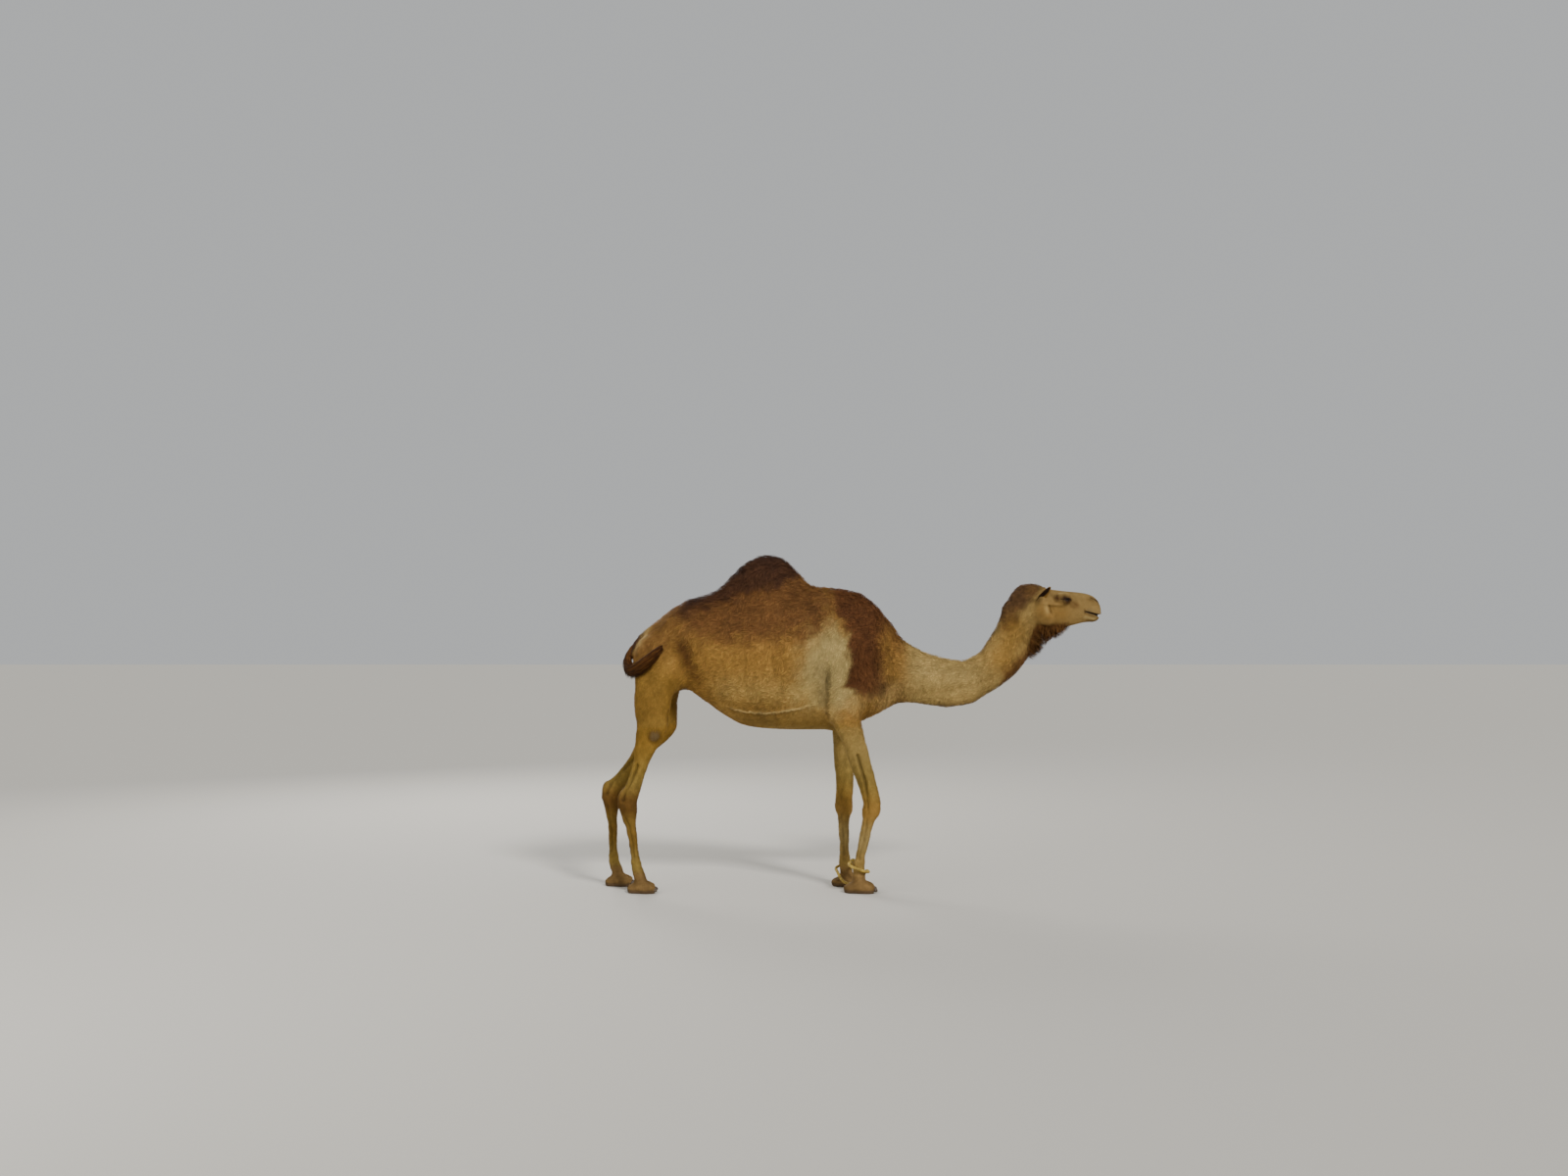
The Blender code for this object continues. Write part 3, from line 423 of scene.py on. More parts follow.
def narrowEars(points):  # the ears' roots drawn in to a stalk
    for side in (-1, 1):
        mine = np.nonzero(points[:, 1] * side > 0)[0]
        own = points[mine]
        root = own[own[:, 2] < np.quantile(own[:, 2], 0.2)].mean(axis=0)
        tip = own[own[:, 2].argmax()]
        length = np.linalg.norm(tip - root)
        axis = (tip - root) / length
        share = (own - root) @ axis / length
        line = root + axis * (share * length)[:, None]
        slim = skinShape["earStalk"] + (1 - skinShape["earStalk"]) * smoothStep(-0.05, 0.48, share)
        sunk = (1 - smoothStep(0.22, 0.70, share)) * skinShape["earSunk"]
        inwards = axis * 0.8 + np.array([0, 0.6 * side, 0])
        points[mine] = line + (own - line) * slim[:, None] - inwards * sunk[:, None]
    return points


def smoothKeepingForm(points, edges, share, body):  # smooths the nodes' joints away, and gives back the broad form
    before = points
    points = relax(points, edges, skinShape["rounds"], share)
    lost = before - points
    for _ in range(5):
        lost = neighbourMean(lost, edges)
    return relax(points + lost * share, edges, 3, body)


def layLinesOnSkin(skin):
    tree = surfaceTree(skin)
    for line in surfaceLines:
        places = [tree.find_nearest(Vector(place)) for place in line]
        line[:] = [np.array(place[0]) for place in places]
        if line is not nostril:
            for end in (0, -1):  # the ends are lifted off, so that the line fades
                line[end] = line[end] + np.array(places[end][1]) * skinShape["lineLift"]


def buildSkinSurface():
    ears = fusedCopy("ears", earNodes, skinShape["earVoxel"])
    points = narrowEars(relax(readPoints(ears.data), readEdges(ears.data), skinShape["earRounds"]))
    writePoints(ears.data, points)
    addAttribute(ears.data, "ear", "FLOAT", np.ones(len(points)))
    skin = fusedCopy("skin", bodyNodes, skinShape["bodyVoxel"])
    addAttribute(skin.data, "ear", "FLOAT", np.zeros(len(skin.data.vertices)))
    fineHead = fusedCopy("fineHead", headNodes + ["eye_right", "eye_left"], skinShape["headVoxel"])
    fineLegs = fusedCopy("fineLegs", legNodes, skinShape["legVoxel"])
    joinParts([skin, ears], "skin")
    editWhole(skin, (bpy.ops.uv.smart_project, {"angle_limit": 1.15, "island_margin": 0.002}))
    skin.data.uv_layers[0].name = "OFBake"
    refine(skin, onNeckAndLegs)
    refine(skin, onHead)
    points = readPoints(skin.data)
    body = 1 - readFloat(skin.data, "ear")
    neck, knee, blend = skinShape["neckFrom"], skinShape["legsBelow"], skinShape["blend"]
    headShare = smoothStep(neck, neck + blend, points[:, 0]) * body
    legShare = smoothStep(knee, knee - blend, points[:, 2]) * body
    points = project(project(points, fineHead, headShare), fineLegs, legShare)
    share = (body * (1 - 0.9 * headShare) * (1 - 0.45 * legShare))[:, None]
    writePoints(skin.data, smoothKeepingForm(points, readEdges(skin.data), share, body[:, None]))
    layLinesOnSkin(skin)
    refine(skin, onFaceDetail)
    refine(skin, onLegDetail)
    for reach in skinShape["lineReach"]:
        refine(skin, lambda p: np.min([pathDistance(p, line) for line in surfaceLines[1:]], axis=0) < reach)
    refine(skin, lambda p: near(p, eyeAt, skinShape["eyeReach"][1]) > 0)
    for helper in (fineHead, fineLegs):
        bpy.data.objects.remove(helper)
    return skin


features = {  # creases and ridges of the head and body: path, reach and height in metres
    "nostril slit": (nostril, 0.0056, -0.0150),
    "nostril's upper rim": ([p + (0.005, 0.002, 0.012) for p in nostril], 0.0070, 0.0045),
    "nostril's lower rim": ([p + (-0.008, 0.002, -0.010) for p in nostril], 0.0070, 0.0035),
    "cleft of the upper lip": (trail("head", (0.975, 0.58), (1.0, 0.34)), 0.0045, -0.0070),
    "cheek crease": (cheekCrease, 0.0055, -0.0070),
    "cheek muscle": (trail("head", (0.30, 0.46, 0.78), (0.31, 0.30, 0.74)), 0.0200, 0.0040),
    "temple hollow": (trail("head", (0.395, 0.830, 0.62), (0.440, 0.700, 0.86)), 0.0060, -0.0050),
    "hollow above the eye": (trail("head", (0.43, 0.80, 0.66)), 0.0180, -0.0040),
    "brow": (trail("head", (0.47, 0.765, 0.88), (0.53, 0.790, 0.88), (0.60, 0.760, 0.80)),
             0.0075, 0.0045),
    "tear trough": (trail("head", (0.605, 0.600, 0.92), (0.690, 0.520, 0.60)), 0.0080, -0.0045),
    "cheek bone": (trail("head", (0.62, 0.48, 0.72), (0.48, 0.53, 0.90), (0.24, 0.56, 0.76)),
                   0.0100, 0.0035),
    "fold behind the mouth": (trail("head", (0.790, 0.43, 0.46), (0.795, 0.33, 0.46)), 0.0050, -0.0040),
    "edge of the lower lip": (trail("head", (0.735, 0.218, 0.40), (0.87, 0.205, 0.38)), 0.0045, -0.0035),
    "jaw edge": (trail("head", (0.30, 0.055, 0.5), (0.55, 0.085, 0.46), (0.72, 0.15, 0.42)),
                 0.0070, 0.0025),
    "muzzle bulge": (trail("head", (0.90, 0.47, 0.42)), 0.0240, 0.0030),
    "windpipe groove": (trail("neck_upper", (0.80, 0.50, 0.72), (0.42, 0.16, 0.80))
                        + trail("neck_lower", (0.55, 0.22, 0.72), (0.0, 0.18, 0.92)), 0.0220, -0.0070),
    "neck ridge": (trail("neck_upper", (0.62, 0.62, 0.82), (0.20, 0.30, 0.86))
                   + trail("neck_lower", (0.40, 0.48, 0.78)) + trail("trunk", (0.92, 0.40, 0.42)), 0.0260, 0.0060),
    "crease behind the elbow": (elbowCrease, 0.0115, -0.0100),
    "elbow": (elbowCallus, 0.0160, 0.0110),
    "fold of the armpit": (trail("trunk", (0.84, 0.20, 0.52), (0.90, 0.15, 0.40)), 0.0130, -0.0080),
    "shoulder's front edge": (trail("trunk", (0.93, 0.62, 0.42), (0.955, 0.36, 0.46)), 0.0260, -0.0060),
    "flank fold": (trail("trunk", (0.172, 0.52, 0.78), (0.178, 0.38, 0.74), (0.160, 0.28, 0.70)),
                   0.0180, -0.0130),
    "hollow before the hip": (trail("trunk", (0.22, 0.78, 0.70)), 0.0700, -0.0100),
    "milk vein": (milkVein, 0.0085, 0.0065),
    "front of the hump": (trail("hump", (0.74, 0.72), (0.90, 0.42)), 0.0700, 0.0170),
    "withers": (trail("trunk", (0.86, 0.90), (0.93, 0.72)), 0.0800, 0.0090),
    "hollow at the ear's foot": (trail("ear_left", (0.30, 0.10, 0.70), (0.44, 0.36, 0.76)), 0.0160, -0.0050),
    "behind the ear": (trail("ear_left", (0.02, 0.20, 0.60)), 0.0140, 0.0040),
    "seat furrow": (trail("trunk", (0.030, 0.50, 0.0), (0.012, 0.40, 0.0)), 0.0160, -0.0120),
}
stifleCallus = (0.16, 0.30, 0.92)
# The same on each leg: height up the bone, front to back and outward shares of its section, reach and height in
# metres.
legShapes = {
    "forearm": (
        (((0.74, 0.0, 0.95), (0.42, -0.08, 1.0), (0.25, -0.35, 1.0), (0.06, -0.62, 0.95)), 0.0092, -0.0140),
        (((0.72, -0.28, 0.95), (0.42, -0.38, 1.0), (0.22, -0.66, 0.95)), 0.0110, 0.0050),
        (((0.80, 0.10, -0.9), (0.42, 0.0, -0.95), (0.10, -0.5, -0.95)), 0.0110, -0.0060),
        (((0.78, 0.75, 0.55), (0.50, 0.75, 0.55)), 0.0260, 0.0060),
        (((0.75, -0.85, 0.50), (0.55, -0.85, 0.50)), 0.0240, 0.0050),
        (((0.07, -0.90, 0.10), (0.0, -0.9, 0.1)), 0.0150, 0.0080),
        (((0.06, 0.80, 0.30), (0.0, 0.80, 0.30)), 0.0260, 0.0060),
        (((0.17, 0.90, 0.30), (0.16, 0.50, 0.90)), 0.0090, -0.0040),
    ),
    "cannon": (
        (((0.90, -0.62, 0.95), (0.70, -0.15, 1.00), (0.40, -0.12, 1.00), (0.14, -0.20, 0.95)), 0.0080, -0.0080),
        (((0.90, -0.45, -0.95), (0.50, -0.15, -1.0), (0.14, -0.20, -0.95)), 0.0080, -0.0070),
        (((0.82, -0.95, 0.0), (0.18, -0.95, 0.0)), 0.0080, 0.0035),
        (((0.97, 0.80, 0.30),), 0.0200, 0.0050),
        (((0.80, 0.85, 0.0), (0.62, 0.85, 0.0)), 0.0120, -0.0040),
        (((0.05, -0.70, 0.60),), 0.0160, 0.0070),
        (((0.05, -0.70, -0.60),), 0.0160, 0.0070),
        (((0.04, 0.75, 0.0),), 0.0160, 0.0040),
    ),
    "gaskin": (
        (((0.60, -0.34, 0.90), (0.45, -0.42, 0.95), (0.26, -0.42, 0.95), (0.15, -0.42, 0.95)), 0.0105, -0.0140),
        (((0.62, -0.70, 0.60), (0.30, -0.80, 0.60), (0.08, -0.85, 0.50)), 0.0095, 0.0065),
        (((0.62, -0.35, -0.90), (0.30, -0.42, -0.95), (0.10, -0.40, -0.95)), 0.0110, -0.0110),
        (((0.80, 0.45, 0.70), (0.58, 0.40, 0.85)), 0.0280, 0.0070),
        (((0.46, 0.45, 0.85), (0.30, 0.55, 0.75)), 0.0140, -0.0040),
        (((0.06, 0.10, 0.95),), 0.0200, 0.0070),
        (((0.04, -0.92, 0.0),), 0.0170, 0.0060),
        (((0.97, 0.90, 0.50), (0.90, 0.55, 0.80), (0.84, 0.80, 0.60)), 0.0100, -0.0050),
    ),
    "thigh": (((stifleCallus,), 0.0200, 0.0060),),
    "foot": (
        (((0.50, 0.92, 0.0), (0.30, 0.98, 0.0), (0.10, 1.0, 0.0)), 0.0100, -0.0170),
        (((0.20, 0.62, 0.55),), 0.0300, 0.0060),
        (((0.20, 0.62, -0.55),), 0.0300, 0.0060),
        (((0.55, -0.60, 0.0), (0.45, -0.75, 0.0)), 0.0180, -0.0060),
        (((0.62, -0.95, 0.55),), 0.0130, 0.0060),
        (((0.62, -0.95, -0.55),), 0.0130, 0.0060),
    ),
}
ribs = {"count": 9, "first": 0.36, "last": 0.66, "depth": 0.0016}
lumps = {"height": 0.0022, "size": 0.075}  # the trunk's unevenness
mouth = {"gape": 0.0085, "depth": 0.013, "lip": 0.0028}


def sectionPoint(node, height, front, outward):  # a place on the bone's section at that share of its height
    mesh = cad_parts[node].data
    corners = readPoints(mesh)
    low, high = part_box(node)
    level = low.z + (high.z - low.z) * height
    ring = corners[np.abs(corners[:, 2] - level) < 0.06 * (high.z - low.z) + 0.012]
    centre, half = (ring.max(axis=0) + ring.min(axis=0)) / 2, (ring.max(axis=0) - ring.min(axis=0)) / 2
    sign = -1 if "right" in node else 1
    return np.array([centre[0] + half[0] * front, centre[1] + half[1] * outward * sign, level])


def legPaths():  # every leg's shapes, placed on its own bones
    for node in legNodes:
        for path, reach, height in legShapes[node.split("_")[2]]:
            yield node, asPath([sectionPoint(node, *share) for share in path]), reach, height


def legPush(points):
    push = np.zeros(len(points))
    for node, path, reach, height in legPaths():
        low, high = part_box(node)
        here = np.nonzero((points[:, 2] < high.z + 0.08) & (points[:, 2] > low.z - 0.08)
                          & (points[:, 0] > low.x - 0.08) & (points[:, 0] < high.x + 0.08)
                          & ((points[:, 1] < 0) == ("right" in node)))[0]
        push[here] += height * np.exp(-(pathDistance(points[here], path, False) / reach) ** 2)
    sole = np.exp(-((points[:, 2] - 0.022) / 0.0045) ** 2)
    return push - 0.0035 * sole * (points[:, 2] < 0.05)


def shapeMouth(points):  # a wedge that opens towards the front, between two full lips
    start, end = mouthLine[0], mouthLine[-1]
    share = np.clip((points[:, 0] - start[0]) / (end[0] - start[0]), 0, 1)
    middle = np.interp(points[:, 0], [p[0] for p in mouthLine[:4]], [p[2] for p in mouthLine[:4]])
    rise = points[:, 2] - middle
    half = 0.0014 + mouth["gape"] * share ** 1.3
    ahead = smoothStep(start[0] - 0.006, start[0] + 0.004, points[:, 0]) * (points[:, 0] > 1.2)
    gap = (1 - smoothStep(half * 0.75, half * 1.1 + 0.0012, np.abs(rise))) * ahead
    lips = (np.exp(-((rise - half - 0.006) / 0.006) ** 2) + np.exp(-((rise + half + 0.006) / 0.006) ** 2)) * ahead
    return lips * mouth["lip"] * (1 - gap) - gap * mouth["depth"] * (0.25 + 0.75 * share), gap


def sculpt(skin):
    mesh = skin.data
    points, normals = readPoints(mesh), readNormals(mesh)
    body = 1 - readFloat(mesh, "ear")
    push = sum(height * along(asPath(path), reach, points) for path, reach, height in features.values())
    lengthShare = (points[:, 0] - spot("trunk", 0, 0)[0]) / (spot("trunk", 1, 0)[0] - spot("trunk", 0, 0)[0])
    count = (lengthShare - ribs["first"]) / (ribs["last"] - ribs["first"]) * ribs["count"]
    onRibs = smoothStep(0, 1, count) * smoothStep(ribs["count"], ribs["count"] - 1, count)
    side = smoothStep(0.05, 0.14, np.abs(points[:, 1])) * smoothStep(1.70, 1.55, points[:, 2])
    push += np.sin(2 * math.pi * (count + 1.2 * (points[:, 2] - 1.3))) * ribs["depth"] * onRibs * side
    onTrunk = smoothStep(1.0, 1.2, points[:, 2]) * (points[:, 0] < 0.9)
    push += lumps["height"] * ripple(points, lumps["size"], 3) * onTrunk
    lipPush, gap = shapeMouth(points)
    gap = np.maximum(gap, smoothStep(0.35, 0.80, along(nostril, 0.0066, points)))
    onLegs = legPush(points)
    writePoints(mesh, points + normals * ((push + lipPush + onLegs) * body)[:, None])
    # How deep each groove lies; the colours are later darkened there as painted shade.
    dips = np.minimum(push, 0) * (points[:, 0] < 0.4) + onLegs
    addAttribute(mesh, "groove", "FLOAT", np.clip(-dips / 0.012, 0, 1) * body)
    addAttribute(mesh, "mouthGap", "FLOAT", gap * body)


def areaShare(points, node, feather, rough, outline):  # 1 inside the outline, 0 outside
    corners = np.array([spot(node, x, z)[[0, 2]] for x, z in outline])
    flat = points[:, [0, 2]] + np.stack([ripple(points, 0.05, seed) for seed in (5, 6)], axis=1) * rough
    distance, inside = np.full(len(points), 9.0), np.zeros(len(points), bool)
    for a, b in zip(corners, np.roll(corners, -1, axis=0)):
        along = b - a
        share = np.clip((flat - a) @ along / (along @ along), 0, 1)
        distance = np.minimum(distance, np.linalg.norm(flat - a - share[:, None] * along, axis=1))
        crosses = (a[1] > flat[:, 1]) != (b[1] > flat[:, 1])
        inside ^= crosses & (flat[:, 0] < a[0] + (flat[:, 1] - a[1]) * (b[0] - a[0]) / (b[1] - a[1] + 1e-12))
    return smoothStep(-feather, feather, np.where(inside, distance, -distance))


# Where the kinds of hair lie in the side view: node, width of the soft edge, its unevenness, corners by shares of
# the node's box.
outlines = {
    "mantle": ("trunk", 0.125, 0.035, (
        (0.06, 0.80), (0.14, 0.99), (0.30, 1.02), (0.45, 1.30), (0.62, 1.10), (0.74, 0.99), (0.745, 0.83), (0.70, 0.68),
        (0.62, 0.60), (0.48, 0.56), (0.32, 0.60), (0.18, 0.64))),
    "hump": ("trunk", 0.030, 0.014, (
        (0.20, 0.86), (0.26, 1.02), (0.36, 1.15), (0.45, 1.30), (0.58, 1.25), (0.64, 1.04), (0.56, 0.99), (0.45, 0.95),
        (0.36, 0.88), (0.27, 0.82))),
    "cape": ("trunk", 0.025, 0.016, (
        (0.72, 1.10), (0.86, 1.05), (0.99, 0.80), (1.01, 0.62), (0.955, 0.43), (0.945, 0.33), (0.91, 0.28),
        (0.857, 0.245), (0.805, 0.26), (0.773, 0.33), (0.787, 0.47), (0.791, 0.59), (0.78, 0.72), (0.735, 0.84))),
    "cream": ("trunk", 0.085, 0.022, (
        (0.64, 0.60), (0.73, 0.72), (0.82, 0.58), (0.82, 0.42), (0.80, 0.24), (0.73, 0.10), (0.62, 0.16), (0.60, 0.30),
        (0.61, 0.46))),
    "belly": ("trunk", 0.070, 0.015, (
        (0.16, 0.30), (0.30, 0.19), (0.42, 0.13), (0.60, 0.165), (0.72, 0.22), (0.76, -0.1), (0.2, -0.1))),
    "rump": ("trunk", 0.060, 0.020, (
        (-0.1, 0.86), (0.10, 0.98), (0.16, 0.80), (0.13, 0.58), (0.05, 0.40), (-0.1, 0.40))),
    "buttock": ("trunk", 0.030, 0.010, ((-0.05, 0.62), (0.02, 0.76), (0.07, 0.72), (0.05, 0.58), (-0.05, 0.48))),
    "poll": ("head", 0.020, 0.008, (
        (-0.20, 0.02), (-0.25, 0.35), (-0.20, 0.75), (-0.12, 1.0), (-0.02, 1.12), (0.12, 1.14), (0.27, 1.04),
        (0.265, 0.88), (0.19, 0.72), (0.09, 0.60), (0.03, 0.40), (-0.02, 0.10), (-0.08, -0.04))),
    "throat": ("head", 0.034, 0.012, (
        (-0.20, -0.80), (0.02, -0.50), (0.17, 0.02), (0.40, 0.09), (0.60, 0.03), (0.60, -0.3), (0.2, -1.1),
        (-0.2, -1.2))),
}
tailLine = trail("tail", (0.95, 0.98), (0.45, 0.62), (0.06, 0.06))


def readAreas(points, ear):  # how much each kind of coat counts at each point
    areas = {name: areaShare(points, *values) for name, values in outlines.items()}
    x, y, z = points.T
    areas["hump"] *= smoothStep(0.19, 0.12, np.abs(y))
    trunk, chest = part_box("trunk"), spot("neck_lower", 0, 0.5)
    areas["neck"] = smoothStep(chest[0] - 0.02, chest[0] + 0.10, x)
    areas["face"] = smoothStep(spot("head", 0.10, 0)[0], spot("head", 0.36, 0)[0], x) * (1 - areas["poll"])
    areas["legs"] = smoothStep(trunk[0].z + 0.13, trunk[0].z - 0.10, z)
    areas["thigh"] = smoothStep(spot("trunk", 0.25, 0)[0], spot("trunk", 0.12, 0)[0], x)
    areas["thigh"] *= smoothStep(trunk[0].z + 0.50, trunk[0].z + 0.30, z)
    areas["feet"] = smoothStep(0.16, 0.10, z)
    areas["tail"] = smoothStep(0.046, 0.032, pathDistance(points, tailLine)) * smoothStep(-1.20, -1.25, x)
    areas["ear"] = ear
    return areas


# Each kind of coat: hair length, width of a tuft, depth over the skin, cover, curl and swirl. Later kinds win.
coatKinds = {
    "flank": (0.030, 0.0035, 0.010, 1.25, 0.14, 0.50),
    "mantle": (0.033, 0.0035, 0.010, 1.4, 0.16, 0.55),
    "cream": (0.022, 0.0030, 0.007, 1.05, 0.06, 0.20),
    "belly": (0.018, 0.0027, 0.005, 0.9, 0.05, 0.20),
    "rump": (0.028, 0.0034, 0.009, 1.2, 0.12, 0.35),
    "buttock": (0.024, 0.0030, 0.006, 1.1, 0.10, 0.30),
    "hump": (0.050, 0.0032, 0.016, 2.1, 0.16, 0.40),
    "cape": (0.034, 0.0032, 0.012, 2.0, 0.26, 0.65),
    "thigh": (0.019, 0.0026, 0.005, 0.95, 0.05, 0.20),
    "neck": (0.023, 0.0028, 0.008, 1.15, 0.10, 0.30),
    "legs": (0.013, 0.0020, 0.0030, 0.72, 0.03, 0.12),
    "face": (0.0085, 0.0012, 0.0016, 0.72, 0.03, 0.10),
    "poll": (0.026, 0.0021, 0.011, 2.2, 0.16, 0.55),
    "throat": (0.030, 0.0024, 0.009, 1.6, 0.12, 0.30),
    "tail": (0.040, 0.0028, 0.006, 2.2, 0.10, 0.20),
    "feet": (0.007, 0.0014, 0.0014, 0.70, 0.02, 0.10),
    "ear": (0.008, 0.0012, 0.0010, 1.0, 0.04, 0.15),
}


def coatAt(areas):  # the same values at each point, blended where kinds meet
    values = np.tile(np.array(coatKinds["flank"]), (len(areas["ear"]), 1))
    for name in list(coatKinds)[1:]:
        values += (np.array(coatKinds[name]) - values) * areas[name][:, None]
    return dict(zip(("length", "width", "depth", "cover", "curl", "swirl"), values.T))


lids = {  # drawn round the eyeball
    "outward": (0.30, 0.92, 0.10),  # the way the left eye looks
    "upperOpen": 0.20,  # height of the opening, as shares of the eyeball's radius
    "lowerOpen": 0.40,
    "halfWidth": 0.78,
    "thick": 0.0026,
    "margin": (0.07, 0.06, 0.0010),  # a ridge on the lids: how far from the edge, width and height
    "creases": ((0.34, 0.06, -0.0018), (0.55, 0.05, -0.0010)),
    "inside": 0.0045,  # how far in the skin lies behind the eyeball's front
    "sunk": 0.0055,  # how far the eyeball lies in from the solid's place
    "upperLash": 0.019,
    "lowerLash": 0.009,
    "lashWidth": 0.0007,
    "lashColour": "#1a110b",
    # Rows of lashes: first and last share of the lid's half width, number, height over the lid's edge.
    "rows": ((-0.70, 0.72, 60, 0.04), (-0.62, 0.66, 46, 0.08), (-0.40, 0.55, 22, -0.03)),
}


def eyeFrame():  # the left eye's outward, forward and upward directions
    out = np.array(lids["outward"]) / np.linalg.norm(lids["outward"])
    front = np.array([1, 0, -0.12]) - out * (out @ np.array([1, 0, -0.12]))
    front /= np.linalg.norm(front)
    return out, front, np.cross(front, out)


def eyeMiddle():
    return eyeAt - eyeFrame()[0] * lids["sunk"]


def lidOpening(across):  # upper and lower edges of the almond at each share of its width
    span = np.clip(1 - (across / lids["halfWidth"]) ** 2, 0, 1)
    return lids["upperOpen"] * span ** 0.8, -lids["lowerOpen"] * span


def drawLids(skin):  # the skin round each eye is drawn on to a shell just outside the eyeball, and in at the opening
    mesh = skin.data
    points, body = readPoints(mesh), 1 - readFloat(mesh, "ear")
    out, front, up = eyeFrame()
    offset = fold(points) - eyeMiddle()
    radius = np.linalg.norm(offset, axis=1)
    way = offset / np.maximum(radius, 1e-6)[:, None]
    across, rise, facing = way @ front, way @ up, way @ out
    upper, lower = lidOpening(across)
    edge = np.maximum(rise - upper, lower - rise)  # below 0 inside the opening
    close = (facing > 0) * (radius < eyeRadius * 1.9)
    opening = (1 - smoothStep(-0.05, 0.03, edge)) * close
    margin, *creases = (height * np.exp(-((edge - place) / width) ** 2)
                        for place, width, height in (lids["margin"], *lids["creases"]))
    lid = eyeRadius + lids["thick"] + margin + sum(creases)
    inner = smoothStep(0.35, 0.70, facing)
    wanted = lid * inner + np.maximum(radius, lid) * (1 - inner)
    wanted = wanted * (1 - opening) + (eyeRadius - lids["inside"]) * opening
    reach = smoothStep(-0.35, 0.0, facing) * (radius < eyeRadius * 1.9) * body
    moved = eyeMiddle() + way * (radius + (wanted - radius) * reach)[:, None]
    moved[:, 1] *= np.where(points[:, 1] < 0, -1, 1)
    rim = np.exp(-((edge - 0.03) / 0.07) ** 2) * close * body
    still = np.clip(opening + 2 * rim, 0, 1)
    soft = near(points, eyeAt, 0.05) * (1 - still) * body
    moved = relax(np.where(reach[:, None] > 0, moved, points), readEdges(mesh), 3, soft[:, None])
    moved[:, 2] = np.maximum(moved[:, 2], 0)  # the soles stay on the floor
    writePoints(mesh, moved)
    addAttribute(mesh, "lidOpening", "FLOAT", opening * body)
    addAttribute(mesh, "lidRim", "FLOAT", rim)


def direct(outwards, forwards, upwards):  # directions at the left eye from their parts
    return sum(np.multiply.outer(part, way) for part, way in zip((outwards, forwards, upwards), eyeFrame()))


def makeLashes(material):  # two rows above each eye, one below
    rng = np.random.default_rng(5)
    across = np.concatenate([np.linspace(first, last, number) for first, last, number, _ in lids["rows"]])
    offset = np.concatenate([np.full(number, height) for _, _, number, height in lids["rows"]])
    below, count = offset < 0, len(across)
    across = across + rng.normal(0, 0.012, count)
    upper, lower = lidOpening(across)
    rise = np.where(below, lower, upper) + offset
    facing = np.sqrt(np.clip(1 - across ** 2 - rise ** 2, 0.05, 1))
    starts = eyeMiddle() + unit(direct(facing, across, rise)) * (eyeRadius + lids["thick"] * 0.8)
    size = np.where(below, lids["lowerLash"], lids["upperLash"]) * rng.uniform(0.75, 1.1, count)
    size *= 1 - 0.45 * across ** 2
    middles = starts + direct(0.55, across * 0.55, np.where(below, -0.45, 0.15)) * size[:, None]
    forward = across - 0.1 + rng.normal(0, 0.16, count)
    drop = np.where(below, -0.75, -0.62) + rng.normal(0, 0.10, count)
    ends = starts + direct(0.70, forward, drop) * size[:, None]
    paths = curvedPaths(starts, middles, ends, 3)
    side = unit(np.cross(ends - starts, eyeFrame()[2]))
    top = unit(np.cross(side, ends - starts))
    colours, widths = np.tile(linear(lids["lashColour"]), (count, 1)), np.full(count, lids["lashWidth"])
    parts = []
    for sign in (1, -1):
        flip = np.array([1, sign, 1])
        uvs = placeOnSkin(starts * flip)[2]
        parts.append(makeTufts("lashes", paths * flip, (side * flip * sign)[:, None], (top * flip)[:, None], top * flip,
                               widths, colours, colours, uvs, material))
    piece = joinParts(parts, "lashes")
    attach(piece, "root")


def layCoatDepth(skin):  # the skin lies inside the solids by the coat's depth
    mesh = skin.data
    points, edges = readPoints(mesh), readEdges(mesh)
    areas = readAreas(points, readFloat(mesh, "ear"))
    depth = coatAt(areas)["depth"]
    for _ in range(6):
        depth = 0.5 * depth + 0.5 * neighbourMean(depth[:, None], edges)[:, 0]
    writePoints(mesh, points - readNormals(mesh) * depth[:, None])
    soft = smoothStep(0.006, 0.014, depth)[:, None]
    writePoints(mesh, relax(readPoints(mesh), edges, 4, soft))
